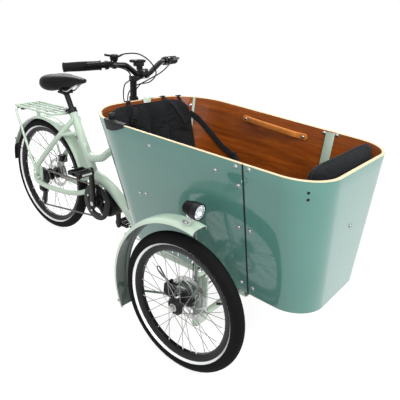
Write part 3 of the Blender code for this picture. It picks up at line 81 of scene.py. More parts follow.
# Radii of the frame's tubes
SEAT_R, DOWN_R, SWAN_R, HEAD_R = 0.021, 0.026, 0.019, 0.022

# Box: outlines of the rim and of the bottom edge, seen from above
WALL = 0.012
WALL_ROWS = 10
SEAM_X = 0.155
BOTTOM_Z = 0.275
SEAM_RIM_Z = 0.759
RIM_SLOPE = 0.064
REAR_SEAM = math.radians(40)
RIM = dict(front=0.4, rear=-0.59, half=0.305, flare=0.044, front_r=0.136, rear_r=0.212)
FOOT = dict(front=0.381, rear=-0.495, half=0.208, flare=-0.07, front_r=0.11, rear_r=0.1)


# Shape helpers
def skin(rows, loop=True, ring=False, finish_of=None):
    """Quads between rows of points. loop closes each row, ring joins the last row to the first. UVs are metres."""
    bm = bmesh.new()
    layer = bm.loops.layers.uv.new("UVMap")
    grid = [[bm.verts.new(place) for place in row] for row in rows]
    count, across = len(rows), len(rows[0])
    along = [0.0]
    for row, following in zip(rows, rows[1:] + rows[:1]):
        along.append(along[-1] + max((Vector(a) - Vector(b)).length for a, b in zip(row, following)))
    down = [0.0]
    for a, b in zip(rows[0], rows[0][1:] + rows[0][:1]):
        down.append(down[-1] + (Vector(a) - Vector(b)).length)
    for i in range(count if ring else count - 1):
        for j in range(across if loop else across - 1):
            after, beside = (i + 1) % count, (j + 1) % across
            face = bm.faces.new((grid[i][j], grid[i][beside], grid[after][beside], grid[after][j]))
            if finish_of:
                face.material_index = finish_of(j)
            corners = ((i, j), (i, j + 1), (i + 1, j + 1), (i + 1, j))
            for corner, (u, v) in zip(face.loops, corners):
                corner[layer].uv = along[u], down[v]
    if loop and not ring:
        for row in (grid[0], grid[-1]):
            face = bm.faces.new(row)
            if finish_of:
                face.material_index = finish_of(-1)
            for corner in face.loops:
                corner[layer].uv = corner.vert.co.z, corner.vert.co.x + corner.vert.co.y
    bmesh.ops.remove_doubles(bm, verts=bm.verts, dist=1e-6)
    bmesh.ops.recalc_face_normals(bm, faces=bm.faces)
    return made(bm)


def made(bm):
    mesh = bpy.data.meshes.new("shape")
    bm.to_mesh(mesh)
    bm.free()
    return mesh


def merged(meshes):
    bm = bmesh.new()
    for mesh in meshes:
        bm.from_mesh(mesh)
    return made(bm)


def reflected(mesh):
    """The mesh reflected in the centre plane."""
    copy = mesh.copy()
    copy.transform(Matrix.Scale(-1, 4, (0, 1, 0)))
    copy.flip_normals()
    return copy


def moved(mesh, offset):
    mesh.transform(Matrix.Translation(Vector(offset)))
    return mesh


def aimed(mesh, axis, centre=(0, 0, 0)):
    turn = UP.rotation_difference(Vector(axis)).to_matrix().to_4x4()
    mesh.transform(Matrix.Translation(Vector(centre)) @ turn)
    return mesh


def around(count, start=0.0):
    """Angles spaced evenly all round, the first one start steps on."""
    return [TAU * (k + start) / count for k in range(count)]


def framed(mesh, centre, axes):
    """The mesh turned so that its own axes lie along the given ones."""
    mesh.transform(Matrix.Translation(centre) @ Matrix(axes).transposed().to_4x4())
    return mesh


def turned(profile, axis=UP, centre=(0, 0, 0), segments=32, ring=False):
    """A solid of revolution of (radius, height) points. A ring's profile is a closed loop off the axis."""
    rows = []
    for turn in around(segments):
        c, s = math.cos(turn), math.sin(turn)
        rows.append([Vector((radius * c, radius * s, height)) for radius, height in profile])
    return aimed(skin(rows, loop=ring, ring=True), axis, centre)


def disc(steps, axis, centre, segments=32):
    """A turned solid that starts at its centre and steps out and up through (radius, height) points to its top."""
    return turned([(0, steps[0][1]), *steps, (0, steps[-1][1])], axis, centre, segments)


def rod(start, end, radius, sides=16, soft=0.0):
    """A round bar, with its ends softened by a small chamfer where one is given."""
    start, end = Vector(start), Vector(end)
    length = (end - start).length
    inner, top = radius - soft, length - soft
    profile = [(0, 0), (inner, 0), (radius, soft), (radius, top), (inner, length), (0, length)]
    return turned(profile, end - start, start, sides)


def upright(x, y, low, high, *rest):
    return rod((x, y, low), (x, y, high), *rest)


def crossways(x, z, first, last, *rest):
    return rod((x, first, z), (x, last, z), *rest)


def circle(radius, sides):
    return [(radius * math.cos(turn), radius * math.sin(turn)) for turn in around(sides)]


def sideways(y):
    return Vector((0, y, 0))


def on_wheel(radius, turn, y=0):
    """A point at a radius and an angle round a Y axis."""
    return Vector((radius * math.cos(turn), y, radius * math.sin(turn)))


def sided(side, *points):
    """Points given for the left side, or their reflections for the right."""
    return [Vector((x, y * side, z)) for x, y, z in points]


def there_and_back(half):
    """A profile of (radius, sideways) points whose second half is the first half's reflection."""
    return half + [(r, -y) for r, y in half[-2::-1]]


def oblong(half_a, half_b, bevel, steps=2):
    """A rectangle section with rounded corners."""
    points = []
    for sa, sb, start in ((1, 1, 0), (-1, 1, 90), (-1, -1, 180), (1, -1, 270)):
        for k in range(steps + 1):
            angle = math.radians(start + 90 * k / steps)
            a, b = sa * (half_a - bevel) + bevel * math.cos(angle), sb * (half_b - bevel) + bevel * math.sin(angle)
            points.append((a, b))
    return points


def swept(path, section, up=None, ring=False, scales=None):
    """A section carried along a path. With up it keeps that side up, otherwise it turns as little as it can."""
    path = [Vector(place) for place in path]
    count = len(path)
    rows = []
    side = None
    for i, place in enumerate(path):
        before = path[i - 1] if i or ring else place
        after = path[(i + 1) % count] if i < count - 1 or ring else place
        tangent = (after - before).normalized()
        guide = Vector(up) if up else side or (UP if abs(tangent.z) < 0.9 else X)
        side = (guide - tangent * guide.dot(tangent)).normalized()
        other = tangent.cross(side)
        size = scales[i] if scales else 1.0
        rows.append([place + (side * a + other * b) * size for a, b in section])
    return skin(rows, ring=ring)


def tube(path, radius, sides=16, ring=False, scales=None):
    return swept(path, circle(radius, sides), ring=ring, scales=scales)


def bent(points, bend=0.03, steps=8):
    """A run of straight lengths whose corners are rounded as a bent tube's are."""
    points = [Vector(point) for point in points]
    path = [points[0]]
    for before, corner, after in zip(points, points[1:], points[2:]):
        back, ahead = before - corner, after - corner
        angle = math.pi - back.angle(ahead)
        reach = min(bend * math.tan(angle / 2), 0.46 * back.length, 0.46 * ahead.length)
        start = corner + back.normalized() * reach
        end = corner + ahead.normalized() * reach
        for step in range(steps + 1):
            t = step / steps
            path.append(start * (1 - t) ** 2 + corner * 2 * t * (1 - t) + end * t**2)
    path.append(points[-1])
    return path


def flowing(points, step):
    """Points about a step apart along a smooth curve through the given ones."""
    points = [Vector(point) for point in points]
    padded = [points[0] * 2 - points[1]] + points + [points[-1] * 2 - points[-2]]
    path = []
    for a, b, c, d in zip(padded, padded[1:], padded[2:], padded[3:]):
        count = max(round((c - b).length / step), 1)
        for k in range(count):
            t = k / count
            cubic = (3 * b - a - 3 * c + d) * t**3
            path.append(0.5 * (2 * b + (c - a) * t + (2 * a - 5 * b + 4 * c - d) * t**2 + cubic))
    path.append(points[-1])
    return path


def headings(path):
    """The direction of a line of points at each of them."""
    ahead, behind = path[1:] + path[-1:], path[:1] + path[:-1]
    return [(after - before).normalized() for after, before in zip(ahead, behind)]


def arc(centre, radius, start, end, count):
    for k in range(count + 1):
        angle = math.radians(start + (end - start) * k / count)
        yield centre[0] + radius * math.cos(angle), centre[1] + radius * math.sin(angle)


def two_circles(first, first_r, second, second_r, count=14):
    """The outline of a plate with two round ends."""
    first, second = Vector(first), Vector(second)
    along = second - first
    facing = math.degrees(math.atan2(along.y, along.x))
    lean = math.degrees(math.asin((first_r - second_r) / along.length))
    tail = list(arc(first, first_r, facing + 90 - lean, facing + 270 + lean, count))
    return tail + list(arc(second, second_r, facing - 90 + lean, facing + 90 - lean, count))


def plate(outline, low, high, plane="XZ", bevel=0.0, holes=()):
    """An outline in one plane, extruded from low to high, with bevelled rims. A hole is (a, b, radius)."""
    place = {
        "XZ": lambda a, b, depth: (a, depth, b),
        "XY": lambda a, b, depth: (a, b, depth),
        "YZ": lambda a, b, depth: (depth, a, b),
    }[plane]
    bm = bmesh.new()
    face = bm.faces.new([bm.verts.new(place(a, b, low)) for a, b in outline])
    lifted = bmesh.ops.extrude_face_region(bm, geom=[face])["geom"]
    raised = [item for item in lifted if isinstance(item, bmesh.types.BMVert)]
    bmesh.ops.translate(bm, verts=raised, vec=Vector(place(0, 0, high)) - Vector(place(0, 0, low)))
    bmesh.ops.recalc_face_normals(bm, faces=bm.faces)
    if bevel:
        rims = [edge for edge in bm.edges if any(len(f.verts) > 4 or len(bm.faces) == 6 for f in edge.link_faces)]
        bmesh.ops.bevel(bm, geom=rims, offset=bevel, segments=2, affect="EDGES", profile=0.5, clamp_overlap=True)
    mesh = made(bm)
    for a, b, radius in holes:
        reach = Vector(place(0, 0, 1)) * 0.01
        mesh = cut(mesh, rod(Vector(place(a, b, low)) - reach, Vector(place(a, b, high)) + reach, radius, 24))
    return mesh


def block(low, high, bevel=0.0, segments=3):
    low, high = Vector(low), Vector(high)
    bm = bmesh.new()
    bmesh.ops.create_cube(bm, size=1)
    bmesh.ops.scale(bm, verts=bm.verts, vec=high - low)
    bmesh.ops.translate(bm, verts=bm.verts, vec=(low + high) / 2)
    if bevel:
        bmesh.ops.bevel(bm, geom=bm.edges[:], offset=bevel, segments=segments, affect="EDGES", profile=0.5)
    return made(bm)


def linked(name, data):
    """A new object in the scene."""
    obj = bpy.data.objects.new(name, data)
    bpy.context.scene.collection.objects.link(obj)
    return obj


def cut(mesh, other):
    """The mesh with the other one cut out of it."""
    base, tool = linked("base", mesh), linked("tool", other)
    modifier = base.modifiers.new("cut", "BOOLEAN")
    modifier.operation = "DIFFERENCE"
    modifier.object = tool
    graph = bpy.context.evaluated_depsgraph_get()
    result = bpy.data.meshes.new_from_object(base.evaluated_get(graph))
    for obj in (base, tool):
        bpy.data.objects.remove(obj, do_unlink=True)
    return result


def piece(name, mesh, body, finish, replaces=(), angle=38):
    """Places a shape in the frame, finishes it and lets it ride on a body."""
    moved(mesh, X * AXLE_X)
    for each in finish if isinstance(finish, (list, tuple)) else [finish]:
        mesh.materials.append(each)
    mesh.shade_smooth()
    mesh.set_sharp_from_angle(angle=math.radians(angle))
    mesh.name = name
    obj = linked(name, mesh)
    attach(obj, body)
    if replaces:
        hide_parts(*replaces)
    return obj


# Material helpers
def material(name, colour, roughness, metallic=0.0, **constants):
    """A Principled material. Constants are set on the shader's own sockets."""
    mat = bpy.data.materials.new(name)
    mat.use_nodes = True
    shader = mat.node_tree.nodes["Principled BSDF"]
    shader.inputs["Base Color"].default_value = (*colour, 1)
    shader.inputs["Roughness"].default_value = roughness
    shader.inputs["Metallic"].default_value = metallic
    for socket, value in constants.items():
        shader.inputs[socket.replace("_", " ")].default_value = value
    return mat


def add(mat, kind, inputs=None, **settings):
    new = mat.node_tree.nodes.new(kind)
    for key, value in settings.items():
        setattr(new, key, value)
    for key, value in (inputs or {}).items():
        if isinstance(value, bpy.types.NodeSocket):
            mat.node_tree.links.new(value, new.inputs[key])
        else:
            new.inputs[key].default_value = value
    return new


def feed(mat, socket, value):
    mat.node_tree.links.new(value, mat.node_tree.nodes["Principled BSDF"].inputs[socket])


def coordinates(mat, source="Object", scale=(1, 1, 1)):
    texture = add(mat, "ShaderNodeTexCoord")
    return add(mat, "ShaderNodeMapping", {"Vector": texture.outputs[source], "Scale": scale}).outputs["Vector"]


def speckle(mat, vector, scale, detail=4.0, rough=0.55, distortion=0.0):
    inputs = {"Vector": vector, "Scale": scale, "Detail": detail, "Roughness": rough, "Distortion": distortion}
    return add(mat, "ShaderNodeTexNoise", inputs).outputs["Fac"]


def ramp(mat, fac, stops):
    """A colour ramp of (position, colour) stops; a number stands for a grey."""
    new = add(mat, "ShaderNodeValToRGB", {"Fac": fac})
    elements = new.color_ramp.elements
    for index, (position, colour) in enumerate(stops):
        element = elements[index] if index < 2 else elements.new(position)
        element.position = position
        element.color = (*colour, 1) if hasattr(colour, "__len__") else (colour, colour, colour, 1)
    return new.outputs["Color"]


def spread(mat, fac, low, high):
    """The value brought from 0..1 into low..high."""
    return add(mat, "ShaderNodeMapRange", {"Value": fac, "To Min": low, "To Max": high}).outputs["Result"]


def bump(mat, height, strength, distance=0.001, after=None):
    inputs = {"Height": height, "Strength": strength, "Distance": distance}
    if after:
        inputs["Normal"] = after
    return add(mat, "ShaderNodeBump", inputs).outputs["Normal"]


def multiplied(mat, first, second):
    new = add(mat, "ShaderNodeMix", data_type="RGBA", blend_type="MULTIPLY")
    new.inputs["Factor"].default_value = 1.0
    for index, value in ((6, first), (7, second)):
        if isinstance(value, bpy.types.NodeSocket):
            mat.node_tree.links.new(value, new.inputs[index])
        else:
            new.inputs[index].default_value = (*value, 1)
    return new.outputs[2]


def shade(colour, factor, lift=0.0):
    """The colour made darker or lighter."""
    return tuple(channel * factor + lift for channel in colour)


def maths(mat, operation, *values):
    """A maths node's result, for numbers and other nodes' outputs."""
    return add(mat, "ShaderNodeMath", dict(enumerate(values)), operation=operation).outputs[0]


# Materials
def painted(name, colour, depth=0.06):
    """Glossy paint: a clear coat over a colour that clouds a little, with a faint orange peel."""
    mat = material(name, colour, 0.42, Coat_Weight=0.9, Coat_Roughness=0.06, Specular_IOR_Level=0.4)
    vector = coordinates(mat)
    clouds = speckle(mat, vector, 5.0, 3)
    stops = [(0.3, shade(colour, 1 - depth)), (0.7, shade(colour, 1 + depth))]
    feed(mat, "Base Color", ramp(mat, clouds, stops))
    feed(mat, "Roughness", spread(mat, speckle(mat, vector, 60, 2), 0.36, 0.48))
    feed(mat, "Normal", bump(mat, speckle(mat, vector, 160, 2), 0.12, 0.0003))
    return mat


def laminate():
    """High-pressure laminate on the box: saturated mint with a fine pebbled gloss."""
    mat = material("mint_laminate", (0.076, 0.213, 0.179), 0.3, Coat_Weight=1.0, Coat_Roughness=0.07,
                   Specular_IOR_Level=0.2)
    vector = coordinates(mat)
    clouds = speckle(mat, vector, 3.5, 4, 0.6)
    feed(mat, "Base Color", ramp(mat, clouds, [(0.25, (0.068, 0.2, 0.168)), (0.75, (0.084, 0.226, 0.19))]))
    feed(mat, "Roughness", spread(mat, speckle(mat, vector, 45, 3), 0.3, 0.4))
    pebbles = speckle(mat, vector, 210, 3, 0.6)
    feed(mat, "Normal", bump(mat, pebbles, 0.16, 0.0004))
    return mat


def varnished_wood(name, dark, light, coat=0.12, grain=(7.0, 70.0, 70.0), source="UV"):
    """Varnished veneer: long fibres, slow cathedral figure, dark pores, and a clear coat."""
    mat = material(name, light, 0.4, Coat_Weight=coat, Coat_Roughness=0.08, Specular_IOR_Level=0.1)
    fibres = speckle(mat, coordinates(mat, source, grain), 1.0, 8, 0.62, 0.4)
    slow = tuple(value / 5 for value in grain)
    figure = speckle(mat, coordinates(mat, source, slow), 1.0, 3, 0.5, 1.6)
    colour = ramp(mat, fibres, [(0.3, dark), (0.72, light)])
    tint = ramp(mat, figure, [(0.35, (0.72, 0.66, 0.6)), (0.65, (1.08, 1.04, 1.0))])
    feed(mat, "Base Color", multiplied(mat, colour, tint))
    feed(mat, "Roughness", spread(mat, fibres, 0.34, 0.52))
    feed(mat, "Normal", bump(mat, fibres, 0.1, 0.0004))
    return mat


def plywood_edge():
    """Sawn edge of the panel: pale plies with thin dark glue lines."""
    mat = material("plywood_edge", (0.8, 0.56, 0.3), 0.5, Coat_Weight=0.3, Coat_Roughness=0.2)
    vector = coordinates(mat, "UV", (1, 1, 1))
    axis = add(mat, "ShaderNodeSeparateXYZ", {"Vector": vector}).outputs["Y"]
    wave = maths(mat, "FRACT", maths(mat, "MULTIPLY", axis, 420.0))
    fibres = speckle(mat, coordinates(mat, "Object", (60, 60, 60)), 1.0, 5)
    layers = ramp(mat, wave, [(0.0, (0.74, 0.62, 0.41)), (0.62, (0.7, 0.57, 0.36)), (0.78, (0.44, 0.3, 0.14))])
    feed(mat, "Base Color", multiplied(mat, layers, ramp(mat, fibres, [(0.3, 0.88), (0.7, 1.0)])))
    feed(mat, "Normal", bump(mat, fibres, 0.2, 0.0003))
    return mat


def plastic(name, colour, roughness=0.5, grain=260.0, strength=0.18):
    """Moulded plastic or satin-black coated metal with a fine grain."""
    mat = material(name, colour, roughness, Specular_IOR_Level=0.2)
    vector = coordinates(mat)
    fine = speckle(mat, vector, grain, 3)
    slow = speckle(mat, vector, 9.0, 3)
    feed(mat, "Base Color", ramp(mat, slow, [(0.35, colour), (0.75, shade(colour, 1.4, 0.001))]))
    feed(mat, "Roughness", spread(mat, slow, roughness - 0.07, roughness + 0.08))
    feed(mat, "Normal", bump(mat, fine, strength, 0.0004))
    return mat


def metal(name, colour, roughness, grain=(1, 1, 1)):
    """Bare or plated metal with faint streaks and handling marks."""
    mat = material(name, colour, roughness, 1.0)
    streaks = speckle(mat, coordinates(mat, "Object", grain), 90.0, 4, 0.6)
    marks = speckle(mat, coordinates(mat), 14.0, 5, 0.65)
    feed(mat, "Roughness", spread(mat, marks, roughness * 0.75, min(roughness * 1.5, 1)))
    feed(mat, "Base Color", ramp(mat, marks, [(0.3, shade(colour, 0.86)), (0.7, colour)]))
    feed(mat, "Normal", bump(mat, streaks, 0.06, 0.0003))
    return mat


def rubber(name, colour, roughness=0.72):
    mat = material(name, colour, roughness, Specular_IOR_Level=0.1)
    vector = coordinates(mat)
    dust = speckle(mat, vector, 22.0, 6, 0.7)
    feed(mat, "Base Color", ramp(mat, dust, [(0.4, colour), (0.85, shade(colour, 1.8, 0.0015))]))
    feed(mat, "Roughness", spread(mat, dust, roughness - 0.1, roughness + 0.12))
    feed(mat, "Normal", bump(mat, speckle(mat, vector, 420, 3), 0.25, 0.0004))
    return mat


def woven(name, colour, thread=0.0011, source="Object", roughness=0.86, sheen=0.35):
    """Plain-woven cloth: warp and weft threads over and under each other, with creases of wear."""
    mat = material(name, colour, roughness, Sheen_Weight=sheen, Sheen_Roughness=0.5, Specular_IOR_Level=0.15)
    mat.node_tree.nodes["Principled BSDF"].inputs["Sheen Tint"].default_value = (0.55, 0.6, 0.7, 1)
    vector = coordinates(mat, source, (1 / thread,) * 3)
    axes = add(mat, "ShaderNodeSeparateXYZ", {"Vector": vector})
    waves = []
    for axis in "XYZ":
        turn = maths(mat, "MULTIPLY", axes.outputs[axis], math.pi)
        waves.append(maths(mat, "ABSOLUTE", maths(mat, "SINE", turn)))
    threads = maths(mat, "ADD", maths(mat, "MULTIPLY", waves[0], waves[1]), waves[2])
    worn = speckle(mat, coordinates(mat, source), 11.0, 5, 0.62)
    feed(mat, "Base Color", ramp(mat, worn, [(0.35, colour), (0.8, shade(colour, 1.8, 0.002))]))
    weave = bump(mat, threads, 0.35, 0.0004)
    crease = speckle(mat, coordinates(mat, source), 26.0, 4, 0.6, 0.8)
    feed(mat, "Normal", bump(mat, crease, 0.3, 0.003, weave))
    return mat


def hide(name, colour, wrinkle=95.0, strength=0.25):
    """Leather: fine cells, rubbed high spots and a soft polish."""
    mat = material(name, colour, 0.45, Coat_Weight=0.03, Coat_Roughness=0.3, Specular_IOR_Level=0.14)
    vector = coordinates(mat)
    cells = add(mat, "ShaderNodeTexVoronoi", {"Vector": vector, "Scale": wrinkle * 6}).outputs["Distance"]
    worn = speckle(mat, vector, 18.0, 5, 0.6)
    feed(mat, "Base Color", ramp(mat, worn, [(0.3, shade(colour, 0.7)), (0.7, colour)]))
    feed(mat, "Roughness", spread(mat, worn, 0.36, 0.56))
    feed(mat, "Normal", bump(mat, cells, strength, 0.0005))
    return mat


def clear_lens(name, colour, roughness=0.03):
    mat = material(name, colour, roughness, Transmission_Weight=0.85, IOR=1.49, Coat_Weight=0.5)
    ribs = speckle(mat, coordinates(mat), 120.0, 2)
    feed(mat, "Normal", bump(mat, ribs, 0.15, 0.0006))
    return mat


def reflective():
    """Retroreflective band: bright silver with a fine bead texture."""
    mat = material("reflective_band", (0.8, 0.81, 0.82), 0.32, 0.25, Coat_Weight=0.6, Coat_Roughness=0.1)
    vector = coordinates(mat)
    beads = add(mat, "ShaderNodeTexVoronoi", {"Vector": vector, "Scale": 900.0}).outputs["Distance"]
    feed(mat, "Base Color", ramp(mat, beads, [(0.1, (0.7, 0.71, 0.72)), (0.5, (0.86, 0.87, 0.88))]))
    feed(mat, "Normal", bump(mat, beads, 0.2, 0.0003))
    return mat


MINT = painted("mint_gloss_paint", (0.47, 0.585, 0.475))
# Painted shade: a very dark mint for the front guards' inner faces, standing in for the shadow under the guards.
MINT_PAINTED_SHADE = painted("mint_paint_with_painted_shade", (0.055, 0.085, 0.07))
# Painted shade: a darker copy of the mint paint for the knuckles, standing in for their shadow under the box.
KNUCKLE_PAINTED_SHADE = painted("knuckle_mint_painted_shade", (0.13, 0.175, 0.145))
STRIP_PAINT = painted("strip_mint_paint", (0.29, 0.375, 0.3))
LAMINATE = laminate()
WOOD = varnished_wood("orange_veneer", (0.135, 0.028, 0.002), (0.25, 0.064, 0.006))
WOOD_FLAT = varnished_wood("bench_veneer", (0.13, 0.026, 0.003), (0.25, 0.06, 0.008), 0.2, (60, 9, 60), "Object")
PLY = plywood_edge()
BLACK_METAL = plastic("black_coated_metal", (0.0045, 0.0045, 0.005), 0.36, 320, 0.1)
BLACK_GLOSS = plastic("black_anodised", (0.005, 0.005, 0.0056), 0.26, 380, 0.06)
BLACK_PLASTIC = plastic("black_moulded_plastic", (0.005, 0.005, 0.0056), 0.5)
TYRE = rubber("tyre_rubber", (0.0022, 0.0022, 0.0024))
GRIP = rubber("grip_rubber", (0.0055, 0.0055, 0.0058), 0.66)
STEEL = metal("brushed_steel", (0.56, 0.56, 0.55), 0.28, (1, 12, 1))
SPOKE = metal("spoke_steel", (0.26, 0.26, 0.255), 0.3)
CHROME = metal("chrome_plate", (0.82, 0.83, 0.84), 0.09)
BOLT = metal("bolt_steel", (0.36, 0.38, 0.39), 0.2)
CHAIN_STEEL = metal("chain_steel", (0.16, 0.155, 0.15), 0.38)
CLOTH = woven("black_pack_cloth", (0.0045, 0.005, 0.0055), roughness=0.9, sheen=0.04)
WEBBING = woven("black_webbing", (0.006, 0.0062, 0.007), 0.0016, "UV", 0.8, 0.05)
SADDLE_SKIN = hide("black_saddle_skin", (0.0026, 0.0026, 0.0028), 70, 0.14)
LEATHER = hide("tan_leather", (0.5, 0.17, 0.035), 60, 0.22)
REFLECTOR = reflective()
LENS = clear_lens("clear_lens", (0.95, 0.97, 1.0))
RED_LENS = clear_lens("red_lens", (0.35, 0.012, 0.01), 0.12)
SCREEN = plastic("display_glass", (0.012, 0.014, 0.016), 0.12, 90, 0.01)


# Box
def rim_z(x):
    return SEAM_RIM_Z + RIM_SLOPE * (SEAM_X - x)


def half_width(outline, x):
    return outline["half"] + outline["flare"] * (SEAM_X - x)


def inset(outline, by):
    """The outline drawn in all round."""
    drawn = {key: outline[key] - by for key in ("front", "half", "front_r", "rear_r")}
    return dict(drawn, rear=outline["rear"] + by, flare=outline["flare"])


def plan_point(outline, stretch, t):
    """A point of the outline's left half, seen from above. t runs from 0 to 1 along each stretch, front to rear."""
    front, rear, front_r, rear_r = (outline[key] for key in ("front", "rear", "front_r", "rear_r"))
    wide = half_width(outline, front - front_r)
    wide_rear = half_width(outline, rear + rear_r)
    turn = math.pi / 2 * t
    if stretch == "nose":
        return front, (wide - front_r) * t
    if stretch == "front corner":
        return front - front_r + front_r * math.cos(turn), wide - front_r + front_r * math.sin(turn)
    if stretch == "cheek":
        x = front - front_r + (SEAM_X - front + front_r) * t
        return x, half_width(outline, x)
    if stretch == "side":
        x = SEAM_X + (rear + rear_r - SEAM_X) * t
        return x, half_width(outline, x)
    if stretch == "rear corner":
        return rear + rear_r - rear_r * math.sin(turn), wide_rear - rear_r + rear_r * math.cos(turn)
    return rear, (wide_rear - rear_r) * (1 - t)


def wall_point(stretch, t, share, by=0.0):
    """A point on the wall: share runs from the rim to the foot, and by goes in from the outer face."""
    rim, foot = (Vector((*plan_point(inset(outline, by), stretch, t), 0)) for outline in (RIM, FOOT))
    rim.z, foot.z = rim_z(rim.x), BOTTOM_Z
    return rim.lerp(foot, share)


def wall_normal(stretch, t, share):
    """The direction out of the wall's outer face, on the left half."""
    step = 0.002
    along = wall_point(stretch, min(t + step, 1), share) - wall_point(stretch, max(t - step, 0), share)
    down = wall_point(stretch, t, min(share + step, 1)) - wall_point(stretch, t, max(share - step, 0))
    return down.cross(along).normalized()


def side_place(x, z):
    """The stretch, t and share at which the wall passes this length and height."""
    stretch = "side" if x <= SEAM_X else "cheek"
    span = abs(plan_point(RIM, stretch, 1)[0] - plan_point(RIM, stretch, 0)[0])
    t, share = 0.5, 0.5
    for _ in range(20):
        spot = wall_point(stretch, t, share)
        t = min(max(t + (spot.x - x) / span, 0), 1)
        share = min(max(share + (spot.z - z) / (rim_z(x) - BOTTOM_Z), 0), 1)
    return stretch, t, share


def wall_spot(x, z, side, by=0.0):
    """The point of a side wall at this length and height, and the direction out of it."""
    stretch, t, share = side_place(x, z)
    return wall_point(stretch, t, share, by) * FLIP[side], wall_normal(stretch, t, share) * FLIP[side]


def wall_section(stretch, t, soft=0.0022):
    """The wall's closed section: outer face down, foot, inner face up, and a softened rim."""
    outer = [wall_point(stretch, t, k / WALL_ROWS) for k in range(WALL_ROWS + 1)]
    inner = [wall_point(stretch, t, k / WALL_ROWS, WALL) for k in range(WALL_ROWS, -1, -1)]
    across = (inner[-1] - outer[0]).normalized()
    down = (outer[1] - outer[0]).normalized()
    down_inside = (inner[-2] - inner[-1]).normalized()
    rim_out, rim_in = outer[0], inner[-1]
    outer[0] = rim_out + down * soft
    inner[-1] = rim_in + down_inside * soft
    crest = [rim_in + (down_inside - across) * soft * 0.3, rim_in - across * soft]
    crest += [rim_out + across * soft, rim_out + (down + across) * soft * 0.3]
    return outer + inner + crest


def wall_finish(j):
    """0 is the outer laminate, 1 the inner veneer and 2 the sawn edge."""
    if 0 <= j < WALL_ROWS:
        return 0
    return 1 if WALL_ROWS < j <= 2 * WALL_ROWS else 2


def stations(*stretches):
    """Places along the wall, spaced evenly from start to end of each stretch, the end itself left out."""
    return [(stretch, start + (end - start) * k / count)
            for stretch, start, end, count in stretches for k in range(count)]


def both_halves(left):
    """Sections of the left half followed by their reflections, for a panel that crosses the centre plane."""
    return left + [[Vector((p.x, -p.y, p.z)) for p in row] for row in left[::-1][1:]]


def box_walls():
    finishes = [LAMINATE, WOOD, PLY]
    seam = REAR_SEAM / (math.pi / 2)
    gap = 0.004
    front = [("cheek", 1 - gap * 3)] + stations(("cheek", 0.9, 0.1, 6), ("front corner", 1, 0, 22), ("nose", 1, 0, 6))
    rows = both_halves([wall_section(*place) for place in front + [("nose", 0)]])
    piece("panel_front", skin(rows, finish_of=wall_finish), "frame", finishes, ["box_front_panel"])
    side = stations(("side", gap, 1, 22), ("rear corner", 0, seam - gap, 12)) + [("rear corner", seam - gap)]
    left = skin([wall_section(*place) for place in side], finish_of=wall_finish)
    piece("panel_right", reflected(left), "frame", finishes, ["box_side_panel_right"])
    piece("panel_left", left, "frame", finishes, ["box_side_panel_left"])
    rear = stations(("rear corner", seam + gap, 1, 14), ("tail", 0, 1, 4)) + [("tail", 1)]
    rows = both_halves([wall_section(*place) for place in rear])
    piece("panel_rear", skin(rows, finish_of=wall_finish), "frame", finishes, ["box_rear_panel"])


def dome_bolt(place, direction, radius=0.006, height=0.0042):
    """A domed bolt on a thin washer, with a socket in its crown."""
    wide = radius * 1.28
    profile = [(0, 0), (wide, 0), (wide, 0.001), (radius, 0.0012)]
    for k in range(1, 7):
        angle = math.pi / 2 * k / 7
        profile.append((radius * math.cos(angle), 0.0012 + height * math.sin(angle)))
    top = 0.0012 + height
    profile += [(radius * 0.22, top - 0.0002), (radius * 0.2, top - 0.0018), (0, top - 0.002)]
    return turned(profile, direction, place, 20)


def wall_bolt(x, z, side, inside=False, radius=0.006):
    place, out = wall_spot(x, z, side, WALL if inside else 0.0)
    return dome_bolt(place, -out if inside else out, radius)


def box_bolts():
    handle = ((-0.217, 0.739), (0.055, 0.715))
    seam = ((0.132, 0.746), (0.177, 0.747), (0.137, 0.685), (0.131, 0.536), (0.173, 0.536), (0.13, 0.315),
            (0.176, 0.31))
    bench = ((-0.327, 0.523), (-0.293, 0.53))
    bolts = []
    for side in (1, -1):
        bolts += [wall_bolt(x, z, side) for x, z in handle + seam + bench]
        bolts += [wall_bolt(x, z + 0.004, side, True, 0.0062) for x, z in ((0.129, 0.744), (0.181, 0.744))]
        place = wall_point("rear corner", 0.49, 0.07, WALL) * FLIP[side]
        out = -wall_normal("rear corner", 0.49, 0.07) * FLIP[side]
        bolts += [dome_bolt(place, out, 0.0045, 0.003), dome_bolt(place - UP * 0.02, out, 0.0045, 0.003)]
    nose = wall_point("nose", 0.03, 0.43)
    bolts.append(dome_bolt(nose + sideways(-0.016), wall_normal("nose", 0.03, 0.43)))
    piece("box_bolts", merged(bolts), "frame", BOLT)
    holes = []
    for share in (0.075, 0.121):
        place, out = wall_point("front corner", 0.56, share), wall_normal("front corner", 0.56, share)
        steps = [(0.0046, -0.001), (0.0046, 0.0003), (0.004, 0.0006)]
        holes.append(disc(steps, out * FLIP[-1], place * FLIP[-1], 24))
    piece("box_screw_holes", merged(holes), "frame", BLACK_PLASTIC)


def seam_line(by, side, first=0.0, last=1.0, stretch="side", t=0.0, count=12):
    return [wall_point(stretch, t, first + (last - first) * k / count, by) * FLIP[side] for k in range(count + 1)]


